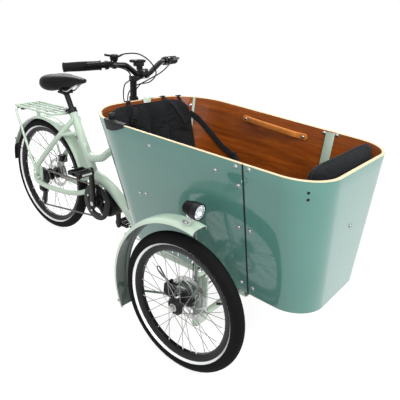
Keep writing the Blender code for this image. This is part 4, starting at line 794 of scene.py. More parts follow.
def box_seams():
    """Dark sealing strips in the outer seams, and the painted straps that join the panels inside."""
    seals = []
    for side, name in SIDES:
        seals.append(swept(seam_line(0.0006, side, 0.004), oblong(0.003, 0.0016, 0.0009), up=(1, 0, 0)))
        strap = swept(seam_line(WALL + 0.0018, side, 0.01, 0.94), oblong(0.018, 0.0014, 0.0009), up=(1, 0, 0))
        piece(f"seam_strap_{name}", strap, "frame", STRIP_PAINT, [f"seam_strip_{name}"])
        t = REAR_SEAM / (math.pi / 2)
        guide = wall_point("rear corner", t + 0.05, 0.3) - wall_point("rear corner", t - 0.05, 0.3)
        guide.y *= side
        cover = seam_line(WALL + 0.0012, side, 0.004, 0.9, "rear corner", t)
        cover = swept(cover, oblong(0.0055, 0.0012, 0.0008), up=guide)
        piece(f"rear_seam_cover_{name}", cover, "frame", STRIP_PAINT)
        outer = seam_line(0.0006, side, 0.004, 1.0, "rear corner", t)
        seals.append(swept(outer, oblong(0.0022, 0.0014, 0.0008), up=guide))
    piece("box_seals", merged(seals), "frame", BLACK_PLASTIC)


def wall_strap_handles():
    """Leather grab handles: flat tabs bolted to the wall and a padded bar between them."""
    stops = ((-0.252, 0.0), (-0.212, 0.0), (-0.188, 0.02), (-0.094, 0.0225), (0.0, 0.02), (0.025, 0.0),
             (0.065, 0.0))
    middle_x, rear_x, front_x, rounding = -0.0935, -0.2525, 0.0655, 0.01
    for side, name in SIDES:
        path = []
        for x, away in stops:
            place, out = wall_spot(x, 0.742 - 0.089 * (x + 0.234), side, WALL)
            path.append(place - out * (0.0035 + away))
        smooth = flowing(path, 0.005)
        rows = []
        for place, ahead in zip(smooth, headings(smooth)):
            raised = min(max((0.15 - abs(place.x - middle_x)) / 0.035, 0), 1)
            end = min((place.x - rear_x) / rounding, (front_x - place.x) / rounding, 1)
            half_z = 0.0135 * math.sqrt(max(1 - (1 - max(end, 0)) ** 2, 0.04)) - 0.0015 * raised
            half_y = 0.0024 + 0.0046 * raised
            lift = (UP - ahead * UP.dot(ahead)).normalized()
            out = ahead.cross(lift)
            section = oblong(half_z, half_y, min(half_z, half_y) * 0.72, 3)
            rows.append([place + lift * a + out * b for a, b in section])
        piece(f"strap_handle_{name}", skin(rows), "frame", LEATHER, [f"wall_handle_{name}"], 50)
        bolts = []
        for x, z in ((-0.234, 0.742), (0.047, 0.717)):
            place, out = wall_spot(x, z, side, WALL)
            bolts.append(dome_bolt(place - out * 0.0055, -out, 0.0055, 0.0035))
        piece(f"handle_bolts_{name}", merged(bolts), "frame", BOLT)


def inner_outline(margin, z):
    """The walls' inner faces at one height, kept off them by a margin, as a closed plan line."""
    places = stations(("nose", 0.4, 1, 1), ("front corner", 0, 1, 12), ("cheek", 0, 1, 2), ("side", 0, 1, 10),
                      ("rear corner", 0, 1, 14), ("tail", 0, 1, 1))
    left = []
    for stretch, t in places:
        rim, foot = (Vector((*plan_point(inset(outline, WALL + margin), stretch, t), 0)) for outline in (RIM, FOOT))
        left.append(foot.lerp(rim, (z - BOTTOM_Z) / (rim_z(rim.x) - BOTTOM_Z)).xy)
    return left + [Vector((p.x, -p.y)) for p in left[::-1]]


def clipped(outline, x, keep):
    """The part of a closed plan line in front of x, or behind it where keep is negative."""
    kept = []
    for a, b in zip(outline, outline[1:] + outline[:1]):
        if (a.x - x) * keep >= 0:
            kept.append(a)
        if (a.x - x) * (b.x - x) < 0:
            kept.append(a.lerp(b, (x - a.x) / (b.x - a.x)))
    return kept


def bench_boards():
    """Plywood floor, and a seat board on an upright front board for each bench."""
    floor = plate([tuple(p) for p in inner_outline(0.001, 0.292)], 0.286, 0.298, "XY", 0.0008)
    piece("floor_board", floor, "frame", WOOD_FLAT, ["box_floor"])
    board = 0.012
    for name, face_x, top, keep in (("rear_bench", -0.235, 0.452, -1), ("front_bench", 0.12, 0.54, 1)):
        seat = clipped(inner_outline(0.005, top), face_x, keep)
        seat = plate([tuple(p) for p in seat], top - board, top, "XY", 0.0016)
        wide_low, wide_high = (half_width_inside(face_x + keep * board / 2, z) for z in (0.3, top - board))
        face = plate([(-wide_low, 0.2988), (wide_low, 0.2988), (wide_high, top - board), (-wide_high, top - board)],
                     *sorted((face_x + keep * 0.001, face_x + keep * (board + 0.001))), "YZ", 0.001)
        piece(f"{name}_boards", merged([seat, face]), "frame", WOOD_FLAT, [name])


def half_width_inside(x, z):
    stretch, t, share = side_place(x, z)
    return wall_point(stretch, t, share, WALL).y - 0.005


def corner_mount():
    """The black cover clamped over the rim at the right rear corner, with its turning knob."""
    rows = []
    places = stations(("side", 0.9, 1, 6), ("rear corner", 0, 0.14, 6)) + [("rear corner", 0.14)]
    for k, (stretch, t) in enumerate(places):
        drop = 0.014 + 0.052 * math.sin(math.pi * min(k / (len(places) - 1), 0.82) * 0.61)
        out = wall_normal(stretch, t, 0.05)
        outer = [wall_point(stretch, t, share) + out * 0.0035 for share in (drop, drop * 0.55, 0.006)]
        inner = [wall_point(stretch, t, share, WALL) - out * 0.0035 for share in (0.006, drop * 0.8)]
        top = [outer[-1] + UP * 0.0075, inner[0] + UP * 0.0075]
        under = [inner[-1] + out * 0.003, inner[0] + out * 0.003, outer[-1] - out * 0.003, outer[0] - out * 0.003]
        rows.append([p * FLIP[-1] for p in outer + top + inner + under])
    cover = skin(rows)
    knob_at = wall_point("rear corner", 0.1, 0.0, WALL + 0.01) * FLIP[-1]
    knob = turned([(0, -0.02), (0.006, -0.02), (0.006, 0.002), (0.0125, 0.004), (0.0135, 0.01), (0.013, 0.019),
                   (0.0105, 0.0225), (0, 0.0235)], UP, knob_at, 28)
    arm = block(knob_at + Vector((-0.008, -0.012, 0.001)), knob_at + Vector((0.008, 0.008, 0.005)), 0.0012)
    piece("corner_mount", merged([cover, knob, arm]), "frame", BLACK_PLASTIC, angle=50)


# Wheels: how far the rim's edge lies inside the tread, and the brake disc inside the wheel's middle plane
RIM_DEPTH = 0.0449
ROTOR_Y = 0.037


def tyre_mesh(radius, segments, blocks):
    """A round tyre: two running grooves and rows of small shoulder blocks."""
    half, depth, wrap, count = 0.0228, 0.0235, 126, 34
    bead_r, bead_y = radius - 0.0445, 0.0112
    rows = []
    for k, angle in enumerate(around(segments)):
        phase = int(k * blocks / segments * 2) % 2
        row = []
        for j in range(count + 1):
            turn = math.radians(-wrap + 2 * wrap * j / count)
            lean = abs(math.degrees(turn))
            groove = 0.0016 if 10 < lean < 17 else 0.0
            if 30 < lean < 62 and (phase + int(lean / 8)) % 2:
                groove = 0.0011
            r = radius - depth + (depth - groove) * math.cos(turn)
            row.append(on_wheel(r, angle, (half - groove) * math.sin(turn)))
        rows.append(row + [on_wheel(bead_r, angle, y) for y in (bead_y, -bead_y)])
    return skin(rows, ring=True)


def lathe_ring(profile, segments=96):
    """A ring about the wheel's own Y axis, from (radius, sideways) points."""
    return skin([[on_wheel(r, turn, y) for r, y in profile] for turn in around(segments)], ring=True)


def rim_mesh(outer_r):
    """A box-section rim with hooked flanges: the outside, then the bed of the tyre."""
    outside = there_and_back([(0.0015, 0.013), (0.001, 0.014), (-0.001, 0.014), (-0.01, 0.0124),
                              (-0.0185, 0.0098), (-0.0215, 0.007), (-0.0222, 0.0)])
    bed = [(-0.006, -0.011), (-0.01, 0.0), (-0.006, 0.011)]
    return lathe_ring([(outer_r + rise, y) for rise, y in outside + bed])


def wheel_spokes(count, flanges, hub_r, rim_r, crossing=64):
    """Laced spokes with elbows at the hub and nipples at the rim."""
    wires, nipples = [], []
    per_flange = count // 2
    for index, flange_y in enumerate(flanges):
        outward = 1 if index == 0 else -1
        for k in range(per_flange):
            rim_angle = TAU * (k + 0.25 + 0.5 * index) / per_flange
            lean = 1 if k % 2 else -1
            hub_angle = rim_angle + lean * math.radians(crossing)
            start = on_wheel(hub_r, hub_angle, flange_y + lean * 0.0026)
            end = on_wheel(rim_r, rim_angle, 0.003 * outward)
            along = (end - start).normalized()
            wires.append(tube([Vector((start.x, flange_y - lean * 0.0022, start.z)), start, end], 0.00105, 8))
            nipples.append(rod(end - along * 0.014, end + along * 0.004, 0.0021, 8, 0.0006))
    return merged(wires), merged(nipples)


def rotor_mesh(y, outer=0.08, bore=0.022, holes=30):
    """A brake disc: a drilled braking band, swept arms and the carrier that is bolted to the hub."""
    band = lathe_ring([(outer, y - 0.0009), (outer, y + 0.0009), (0.064, y + 0.0009), (0.064, y - 0.0009)])
    drills = []
    for k, angle in enumerate(around(holes)):
        place = on_wheel(0.0745 if k % 2 else 0.0695, angle, y)
        drills.append(rod(place - sideways(0.01), place + sideways(0.01), 0.0026, 10))
    band = cut(band, merged(drills))
    arms = []
    for start in around(6):
        shares = [step / 8 for step in range(9)]
        path = [on_wheel(bore + (0.066 - bore) * share, start + 0.9 * share**1.4, y) for share in shares]
        arms.append(swept(path, oblong(0.0008, 0.0032, 0.0004), up=(0, 1, 0)))
    low, high, inner = y - 0.0014, y + 0.0014, bore - 0.004
    carrier = lathe_ring([(0.031, low), (0.031, high), (inner, high), (inner, low)], 40)
    bolts = []
    for angle in around(6, 0.5):
        place = on_wheel(0.0255, angle, y)
        bolts += [dome_bolt(place, (0, sign, 0), 0.0028, 0.002) for sign in (1, -1)]
    return merged([band, carrier, *arms]), merged(bolts)


def reflective_bands(radius):
    """The bright bands low on the tyre's side walls."""
    profile = ((0.044, 0.0128), (0.0375, 0.0196), (0.0368, 0.0203), (0.0372, 0.0189), (0.0436, 0.0122))
    return merged([lathe_ring([(radius - below, y * sign) for below, y in profile], 128) for sign in (1, -1)])


def valve(rim_r):
    out = on_wheel(1, 0.4)
    inner = out * (rim_r - 0.046)
    return merged([rod(inner, out * (rim_r - 0.016), 0.003, 12, 0.0006),
                   rod(inner - out * 0.004, inner + out * 0.01, 0.0042, 14, 0.001)])


def wheel(body, tyre_node, centre, radius, tread, hub, flanges, flange_r, rotor_y):
    """All the pieces that turn with one wheel."""
    rim_r = radius - RIM_DEPTH
    wires, nipples = wheel_spokes(36, flanges, flange_r, rim_r - 0.0205)
    rotor, rotor_bolts = rotor_mesh(rotor_y)
    parts = (
        ("tyre", tyre_mesh(radius, *tread), TYRE, [tyre_node], "tyre"),
        ("reflective_bands", reflective_bands(radius), REFLECTOR, (), "tyre"),
        ("rim", rim_mesh(rim_r), BLACK_GLOSS, [body], "rim"),
        ("valve", valve(rim_r), BLACK_METAL, (), "black_metal"),
        ("hub", hub, BLACK_METAL, (), "black_metal"),
        ("spokes", wires, SPOKE, (), "steel"),
        ("nipples", nipples, CHROME, (), "steel"),
        ("rotor", rotor, STEEL, (), "steel"),
        ("rotor_bolts", rotor_bolts, BLACK_METAL, (), "black_metal"),
    )
    for label, mesh, finish, stands_for, slot in parts:
        piece(f"{body}_{label}", moved(mesh, centre), body, finish, stands_for)


def front_wheels():
    profile = there_and_back([(0.0076, -0.04), (0.0165, -0.0405), (0.0215, -0.0385), (0.024, -0.0345),
                              (0.031, -0.0325), (0.0318, -0.03), (0.03, -0.0275), (0.0225, -0.025),
                              (0.0175, -0.018), (0.0168, 0.0)])
    for side, name in SIDES:
        splines = []
        for turn in around(16):
            out = on_wheel(1, turn)
            inner, outer = sideways(0.0325 * side), sideways(0.0402 * side)
            splines.append(rod(out * 0.0245 + inner, out * 0.0205 + outer, 0.0016, 8))
        hub = merged([lathe_ring(profile, 48), *splines])
        centre = Vector((0, HALF_TRACK * side, FRONT_R))
        wheel(f"front_wheel_{name}", f"front_tyre_{name}", centre, FRONT_R, (240, 60), hub, (0.03, -0.03), 0.0272,
              -ROTOR_Y * side)


def rear_wheel_parts():
    profile = [(0.0057, 0.0515), (0.019, 0.0515), (0.023, 0.048), (0.031, 0.0375), (0.0322, 0.035),
               (0.031, 0.0325), (0.022, 0.03), (0.018, 0.026), (0.0175, 0.008), (0.022, 0.005),
               (0.033, 0.0015), (0.0338, -0.001), (0.033, -0.0035), (0.023, -0.01), (0.019, -0.012),
               (0.0057, -0.012)]
    wheel("rear_wheel", "rear_tyre", REAR_AXLE, REAR_R, (280, 70), lathe_ring(profile, 48), (0.035, -0.001), 0.0285,
          0.0475)


# Fenders and lamp: points across a guard's outer face
OUTER_POINTS = 11


def guard(centre, radius, start, end, half, skirt, count=64, crown=0.004, finish_of=None):
    """A mudguard: a softly crowned sheet between two turned-down shoulders with rolled edges."""
    thick = 0.0016
    outer = [(-skirt, -half)]
    for k in range(9):
        across = -1 + k / 4
        outer.append((crown - 0.0045 * across**4 - 0.0008, half * 0.9 * across))
    outer.append((-skirt, half))
    inner = [(rise - thick, y * (1 - thick / half)) for rise, y in outer[::-1]]
    lip = 0.0012
    outer[0], outer[-1] = (-skirt, -half - lip * 0.4), (-skirt, half + lip * 0.4)
    rows = []
    for k in range(count + 1):
        out = on_wheel(1, math.radians(start + (end - start) * k / count))
        rows.append([Vector(centre) + out * (radius + rise) + sideways(y) for rise, y in outer + inner])
    return skin(rows, finish_of=finish_of)


def painted_shade_finish(j):
    """Painted shade on the guard's inner face: its faces take a very dark mint that stands in for the shadow under the
    guard.
    """
    return 1 if j >= OUTER_POINTS else 0


def front_guards():
    for side, name in SIDES:
        centre = Vector((0, HALF_TRACK * side, FRONT_R))
        body = f"knuckle_{name}"
        mesh = guard(centre, 0.303, 77, 206, 0.034, 0.014, finish_of=painted_shade_finish)
        # The inner face takes the very dark mint, painted shade for the shadow inside the guard.
        piece(f"front_guard_{name}", mesh, body, [MINT, MINT_PAINTED_SHADE], [f"front_fender_{name}"], 60)
        spot = centre + on_wheel(1, math.radians(200)) * 0.296
        bolts = [dome_bolt(spot + sideways(0.0345 * sign), (0, sign, 0), 0.0045, 0.003) for sign in (1, -1)]
        piece(f"front_guard_bolts_{name}", merged(bolts), body, BOLT)


def head_light():
    """A round lamp with a ribbed body, a clear lens over a faceted bowl, a wire bracket and its lead."""
    axis = Vector((1, 0, -0.08)).normalized()
    y = -0.398
    back = Vector((0.022, y, 0.618))
    profile = [(0, 0), (0.013, 0.0008), (0.0165, 0.003)]
    for k in range(5):
        start = 0.006 + 0.006 * k
        base = 0.0185 + 0.0015 * k
        profile += [(base - 0.0015, start), (base + 0.0012, start + 0.0012), (base + 0.0014, start + 0.0036),
                    (base - 0.001, start + 0.005)]
    profile += [(0.0265, 0.038), (0.0275, 0.056), (0.0272, 0.06), (0.025, 0.061), (0.0242, 0.059),
                (0.024, 0.05), (0.015, 0.042), (0, 0.04)]
    body = turned(profile, axis, back, 48)
    piece("lamp_body", body, "knuckle_right", BLACK_METAL, ["headlamp"])
    bowl = [(0, 0.0405), (0.008, 0.0412), (0.016, 0.045), (0.022, 0.052), (0.024, 0.0585)]
    piece("lamp_bowl", turned(bowl, axis, back, 12), "knuckle_right", CHROME, angle=8)
    lens = [(0, 0.0625), (0.012, 0.0622), (0.02, 0.061), (0.024, 0.0592), (0.024, 0.0575), (0.02, 0.059),
            (0.012, 0.0602), (0, 0.0605)]
    piece("lamp_lens", turned(lens[::-1], axis, back, 40), "knuckle_right", LENS)
    wires = []
    for dy in (0.013, -0.013):
        path = [(0.05, y + dy, 0.6), (0.058, y + dy, 0.58), (0.044, y + dy, 0.5655), (0.026, y + dy * 0.8, 0.565)]
        wires.append(tube(flowing(path, 0.004), 0.0021, 12))
    wires.append(crossways(0.05, 0.6, -0.415, -0.381, 0.0026, 14, 0.0006))
    loop = [(0.026, -0.408, 0.565), (0.018, y, 0.566), (0.026, -0.388, 0.565)]
    wires.append(tube(flowing(loop, 0.003), 0.0021, 12))
    piece("lamp_bracket", merged(wires), "knuckle_right", STEEL)
    bolts = [dome_bolt((0.03, y, 0.5645), UP, 0.005, 0.0035),
             dome_bolt((0.05, -0.4155, 0.6), (0, -1, 0), 0.0042, 0.003)]
    piece("lamp_bolts", merged(bolts), "knuckle_right", CHROME)
    lead = [(0.04, -0.374, 0.613), (0.046, -0.352, 0.606), (0.03, -0.338, 0.58), (0.014, -0.33, 0.52),
            (0.012, -0.3335, 0.44), (0.011, -0.332, 0.33)]
    piece("lamp_lead", tube(flowing(lead, 0.01), 0.0018, 8), "knuckle_right", BLACK_PLASTIC)


# Frame
def weld(start, towards, radius, foot, axis, wide, size=0.0024):
    """The bead where the end of a tube meets the side of a wider one."""
    start, foot, axis = Vector(start), Vector(foot), Vector(axis).normalized()
    run = (Vector(towards) - start).normalized()
    first = run.cross(axis).normalized()
    second = run.cross(first)
    across = run - axis * run.dot(axis)
    path = []
    for turn in around(30):
        edge = start + (first * math.cos(turn) + second * math.sin(turn)) * radius - foot
        off = edge - axis * edge.dot(axis)
        a, b, c = across.dot(across), off.dot(across), off.dot(off) - wide**2
        path.append(foot + edge + run * ((-b - max(b * b - a * c, 0) ** 0.5) / a))
    return tube(path, size, 8, ring=True)


def hexagon(place, axis, half, height, soft=0.0006):
    """A hexagonal bolt head or nut with a chamfered top and a washer under it."""
    axis = Vector(axis).normalized()
    place = Vector(place)
    head = rod(place, place + axis * height, half, 6, soft)
    return merged([head, rod(place, place + axis * 0.0012, half * 1.22, 24, 0.0003)])


def frame_tubes():
    """Seat tube, down tube, swan tube and head tube, with their welds, the motor's web and the box strap."""
    down = bent([(-0.925, 0, 0.4), (-0.835, 0, 0.378), (-0.77, 0, 0.35), (-0.69, 0, 0.292), (-0.56, 0, 0.175),
                 (-0.5, 0, 0.14), (0.012, 0, 0.14)], 0.12)
    swan = bent([(-0.955, 0, 0.485), (-0.905, 0, 0.478), (-0.845, 0, 0.492), (-0.765, 0, 0.552),
                 (STEER_X, 0, 0.64)], 0.08)
    head_foot, head_top = Vector((STEER_X, 0, 0.2)), Vector((STEER_X, 0, 0.7))
    shapes = [
        rod(SEAT_FOOT, SEAT_TOP, SEAT_R, 40, 0.0012),
        tube(down, DOWN_R, 36),
        tube(swan, SWAN_R, 32),
        rod(head_foot, head_top, HEAD_R, 40, 0.0012),
        crossways(-0.906, 0.322, -0.034, 0.034, 0.017, 32, 0.0015),
        weld((-0.765, 0, 0.552), (STEER_X, 0, 0.64), SWAN_R, head_top, UP, HEAD_R),
        weld((-0.905, 0, 0.478), (-0.955, 0, 0.485), SWAN_R, SEAT_FOOT, SEAT_AXIS, SEAT_R),
        weld((STEER_X, 0, 0.4), head_foot, HEAD_R, (STEER_X, 0, 0.229), (0.13, 0, -0.117), DOWN_R),
        plate([(-0.925, 0.4), (-0.905, 0.318), (-0.893, 0.333), (-0.868, 0.352), (-0.85, 0.375)], -0.014, 0.014,
              bevel=0.002),
    ]
    rim_top, leg_x = 0.8097, -0.602
    leg = bent([(leg_x, 0.06, 0.674), (leg_x, 0.06, rim_top), (-0.5765, 0.06, rim_top)], 0.004, 4)
    tab = bent([(-0.588, 0.035, rim_top), (-0.5755, 0.035, rim_top), (-0.5705, 0.035, 0.78)], 0.004, 4)
    shapes.append(swept(leg, oblong(0.019, 0.0015, 0.001), up=(0, 1, 0)))
    shapes.append(swept(tab, oblong(0.021, 0.0013, 0.001), up=(0, 1, 0)))
    shapes.append(block((-0.614, 0.012, 0.672), (-0.602, 0.077, 0.69), 0.0015))
    piece("frame_tubes", merged(shapes), "frame", MINT, ["main_frame"], 45)
    bolt = dome_bolt((-0.5712, 0.022, 0.795), (1, 0, 0.12), 0.0052, 0.0035)
    piece("strap_bolt", bolt, "frame", CHROME)
    cups = []
    for low, high in ((0.192, 0.2035), (0.6925, 0.7)):
        cups.append(turned([(0.0235, low), (0.0252, low + 0.0015), (0.0252, high - 0.0015), (0.0235, high),
                            (0.016, high), (0.016, low)], UP, (STEER_X, 0, 0), 40, ring=True))
    piece("headset_cups", merged(cups), "frame", BLACK_GLOSS)


def stay_tubes():
    """Each stay is one tube bent round behind the axle, with a brace and a plate for the axle."""
    for side, name in SIDES:
        line = sided(
            side, (-1.03, 0.012, 0.655), (-1.095, 0.064, 0.56), (-1.171, 0.07, 0.488), (-1.275, 0.074, 0.384),
            (-1.303, 0.075, 0.35), (-1.311, 0.075, 0.318), (-1.3035, 0.075, 0.288), (-1.275, 0.075, 0.2765),
            (-1.225, 0.0745, 0.272), (-1.182, 0.073, 0.2705), (-1.069, 0.062, 0.2745), (-0.985, 0.046, 0.287),
            (-0.906, 0.03, 0.3195))
        outline = [(-1.312, 0.29), (-1.308, 0.345), (-1.28, 0.38), (-1.262, 0.372), (-1.258, 0.33), (-1.262, 0.29),
                   (-1.285, 0.276)]
        bead_y = 0.0715
        bead = sided(side, (-1.272, bead_y, 0.378), (-1.262, bead_y, 0.352), (-1.26, bead_y, 0.31),
                     (-1.266, bead_y, 0.288))
        shapes = [
            tube(flowing(line, 0.012), 0.013, 24),
            rod(*sided(side, (-1.085, 0.062, 0.572), (-1.0105, 0.012, 0.588)), 0.009, 24),
            plate(outline, 0.068 * side - 0.0035, 0.068 * side + 0.0035, bevel=0.001),
            tube(flowing(bead, 0.006), 0.0022, 8),
        ]
        piece(f"stay_tube_{name}", merged(shapes), "frame", MINT, [f"rear_stay_{name}"], 45)


def axle_and_caliper():
    cap = [(0, 0), (0.0066, 0), (0.0066, 0.003), (0.0048, 0.0052), (0, 0.0058)]
    nuts = [rod(REAR_AXLE - sideways(0.084), REAR_AXLE + sideways(0.084), 0.005, 24, 0.001)]
    for side in (1, -1):
        nuts.append(hexagon(REAR_AXLE + sideways(0.0719 * side), (0, side, 0), 0.0092, 0.0086))
        nuts.append(turned(cap, (0, side, 0), REAR_AXLE + sideways(0.079 * side), 24))
    piece("axle_nuts", merged(nuts), "frame", STEEL, ["rear_axle"])
    shapes = [block((-1.268, 0.05, 0.372), (-1.226, 0.074, 0.412), 0.005),
              block((-1.266, 0.04, 0.374), (-1.228, 0.045, 0.41), 0.002),
              block((-1.262, 0.042, 0.405), (-1.232, 0.056, 0.4115), 0.002),
              disc([(0.0125, 0), (0.0125, 0.0025), (0.0105, 0.004)], (0, 1, 0), (-1.247, 0.0735, 0.392), 28)]
    shapes += [dome_bolt((x, 0.0735, z), (0, 1, 0), 0.004, 0.003) for x, z in ((-1.263, 0.376), (-1.231, 0.407))]
    hose = flowing([(-1.243, 0.062, 0.411), (-1.236, 0.062, 0.432), (-1.205, 0.07, 0.462), (-1.16, 0.0845, 0.492),
                    (-1.11, 0.08, 0.556), (-1.06, 0.035, 0.61), (-1.01, 0.024, 0.56), (-0.96, 0.0225, 0.5),
                    (-0.88, 0.024, 0.472), (-0.82, 0.023, 0.505), (-0.74, 0.0225, 0.562),
                    (-0.66, 0.024, 0.612), (-0.644, 0.014, 0.645)], 0.012)
    piece("rear_caliper", merged(shapes), "frame", BLACK_METAL)
    piece("rear_brake_hose", tube(hose, 0.0024, 12), "frame", BLACK_PLASTIC)


def cross_beam():
    """The low cross tube with a forked bracket for each kingpin, studs to the box and the middle collar."""
    plate_y, stud_z, tube_r = 0.25, 0.318, 0.0125
    shapes = [turned([(0.0288, -0.02), (0.032, -0.02), (0.0335, -0.0185), (0.0335, 0.0285), (0.032, 0.03),
                      (0.0288, 0.03)], (1, 0, 0), (0, 0, BEAM_Z), 40, ring=True)]
    bolts = []
    for side in (1, -1):
        y = plate_y * side
        shapes.append(crossways(0, BEAM_Z, 0.0268 * side, y, tube_r, 32))
        shapes.append(weld((0, 0.2 * side, BEAM_Z), (0, 0, BEAM_Z), tube_r, (0, 0, BEAM_Z), (1, 0, 0), 0.0335))
        outline = list(arc((-0.012, stud_z), 0.026, 180, 0, 14))
        outline += [(0.014, BEAM_Z), (0.01, 0.118), (-0.03, 0.118), (-0.038, BEAM_Z)]
        shapes.append(plate(outline, y - 0.004, y + 0.004, bevel=0.0012))
        for low, high in ((0.322, 0.34), (0.122, 0.15)):
            eye = two_circles((0, KINGPIN_Y * side), 0.015, (0, y), 0.0152)
            shapes.append(plate(eye, low, high, "XY", 0.0016))
        shapes.append(crossways(-0.012, stud_z, y, 0.2112 * side, 0.011, 28))
        bolts.append(hexagon((-0.012, y + 0.004 * side, stud_z), (0, side, 0), 0.0085, 0.0065))
        for z in (0.196, 0.27):
            bolts.append(dome_bolt((-0.022, y + 0.004 * side, z), (0, side, 0), 0.0055, 0.0038))
        bolts.append(hexagon((0, 0.24 * side, 0.1535), UP, 0.008, 0.0058))
    piece("cross_beam", merged(shapes), "frame", MINT, ["front_crossmember"], 45)
    piece("cross_beam_bolts", merged(bolts), "frame", BLACK_METAL)


# Drive
PITCH = 0.0127
CHAIN_Y = -0.048
RING_TEETH, SPROCKET_TEETH = 40, 20
GUIDE = Vector((REAR_AXLE.x + 0.012, 0.236))
CHAIN_WHEEL_R = 0.0205


def motor_and_battery():
    """A ribbed drum about the crank axle with a lower lobe in front and a bolted cover, and the battery pack."""
    first, lobe = Vector((CRANK.x, CRANK.z)), Vector((CRANK.x + 0.052, CRANK.z - 0.022))
    shapes = [plate(two_circles(first, 0.0485, lobe, 0.0445, 24), -0.038, 0.046, bevel=0.004)]
    for y in (-0.028, -0.016, -0.004, 0.008, 0.02, 0.032):
        shapes.append(plate(two_circles(first, 0.05, lobe, 0.046, 24), y, y + 0.0045, bevel=0.001))
    inner_lobe = Vector((CRANK.x + 0.05, CRANK.z - 0.02))
    shapes.append(plate(two_circles(first, 0.04, inner_lobe, 0.036, 20), 0.045, 0.056, bevel=0.003))
    shapes.append(crossways(CRANK.x, CRANK.z, -0.0425, -0.037, 0.022, 36, 0.001))
    piece("motor_case", merged(shapes), "frame", BLACK_PLASTIC, ["motor_housing"])
    screws = []
    for centre, reach, count, start in ((first, 0.0335, 5, 100), (inner_lobe, 0.03, 3, -60)):
        for k in range(count):
            turn = math.radians(start + k * 45)
            spot = centre + Vector((math.cos(turn), math.sin(turn))) * reach
            screws.append(dome_bolt((spot.x, 0.0555, spot.y), (0, 1, 0), 0.0032, 0.0022))
    piece("motor_screws", merged(screws), "frame", STEEL)
    handle = [(-0.335, y, z) for y, z in ((-0.045, 0.384), (-0.045, 0.402), (0.045, 0.402), (0.045, 0.384))]
    pack = [block((-0.395, -0.11, 0.3004), (-0.275, 0.11, 0.372), 0.006),
            block((-0.393, -0.108, 0.3735), (-0.277, 0.108, 0.385), 0.005),
            tube(bent(handle, 0.012), 0.0055, 16),
            rod((-0.2755, 0.085, 0.345), (-0.2715, 0.085, 0.345), 0.009, 28, 0.001)]
    piece("battery", merged(pack), "frame", BLACK_PLASTIC, ["battery_pack"])


def pitch_radius(teeth):
    return PITCH / (2 * math.sin(math.pi / teeth))


def belt_tangent(first, first_r, second, second_r, same_side):
    """The direction between two wheels, and the angle from it to where a belt round both leaves them."""
    along = Vector(second) - Vector(first)
    reach = first_r - second_r if same_side else first_r + second_r
    return math.atan2(along.y, along.x), math.acos(reach / along.length)


def round_arc(centre, radius, start, span, count):
    return [Vector((centre[0] + radius * math.cos(start + span * k / count),
                    centre[1] + radius * math.sin(start + span * k / count))) for k in range(count + 1)]


def chain_points(tension_z):
    """The closed run of the chain round ring, sprocket and the two derailleur wheels."""
    ring, sprocket = (CRANK.x, CRANK.z), (REAR_AXLE.x, REAR_AXLE.z)
    ring_r, sprocket_r = pitch_radius(RING_TEETH), pitch_radius(SPROCKET_TEETH)
    tension = (REAR_AXLE.x - 0.008, tension_z)
    facing, opening = belt_tangent(ring, ring_r, sprocket, sprocket_r, True)
    top = facing - opening
    facing, opening = belt_tangent(tension, CHAIN_WHEEL_R, ring, ring_r, True)
    low = facing - opening
    facing, opening = belt_tangent(sprocket, sprocket_r, GUIDE, CHAIN_WHEEL_R, False)
    leave = facing + opening
    facing, opening = belt_tangent(GUIDE, CHAIN_WHEEL_R, tension, CHAIN_WHEEL_R, False)
    cross = facing - opening
    route = round_arc(ring, ring_r, low, (top - low) % TAU, 90)
    route += round_arc(sprocket, sprocket_r, top, (leave - top) % TAU, 50)
    route += round_arc(GUIDE, CHAIN_WHEEL_R, leave + math.pi, -((leave + math.pi - cross) % TAU), 24)
    route += round_arc(tension, CHAIN_WHEEL_R, cross + math.pi, (low - cross - math.pi) % TAU, 24)
    return route, tension


def run_length(route):
    return sum((b - a).length for a, b in zip(route, route[1:] + route[:1]))


def settled_chain():
    """The tension wheel's height that gives a whole, even number of links, and the places of the pins."""
    low, high = 0.15, 0.178
    links = 2 * round(run_length(chain_points((low + high) / 2)[0]) / PITCH / 2)
    for _ in range(40):
        height = (low + high) / 2
        if run_length(chain_points(height)[0]) > links * PITCH:
            low = height
        else:
            high = height
    route, tension = chain_points(height)
    step = run_length(route) / links
    pins, wanted, walked = [], 0.0, 0.0
    for a, b in zip(route, route[1:] + route[:1]):
        run = (b - a).length
        while wanted <= walked + run and len(pins) < links:
            pins.append(a + (b - a) * ((wanted - walked) / run if run else 0))
            wanted += step
        walked += run
    return pins, tension


def phase_of(pins, centre, reach):
    """Angle about a toothed wheel's centre of the pin nearest to its far side."""
    spot = Vector(centre) + Vector((reach, 0))
    nearest = min(pins, key=lambda pin: (pin - spot).length)
    return math.atan2(nearest.y - centre[1], nearest.x - centre[0])


def cogged(centre, teeth, phase, profile):
    """The outline of a toothed wheel, from the (share of a pitch, radius) points of one tooth."""
    places = []
    for k in range(teeth):
        for share, radius in profile:
            turn = phase + TAU * (k + share) / teeth
            places.append((centre[0] + radius * math.cos(turn), centre[1] + radius * math.sin(turn)))
    return places


def toothed(centre, teeth, phase, low, high, bore):
    """A sprocket: teeth that rise between round seats for the rollers, thinned at their tips."""
    profile = ((0.0, -0.0047), (0.16, -0.0036), (0.3, -0.0004), (0.42, 0.002), (0.5, 0.0026), (0.58, 0.002),
               (0.7, -0.0004), (0.84, -0.0036))
    outline = cogged(centre, teeth, phase, [(share, pitch_radius(teeth) + rise) for share, rise in profile])
    return plate(outline, low, high, bevel=0.0003, holes=[(*centre, bore)])


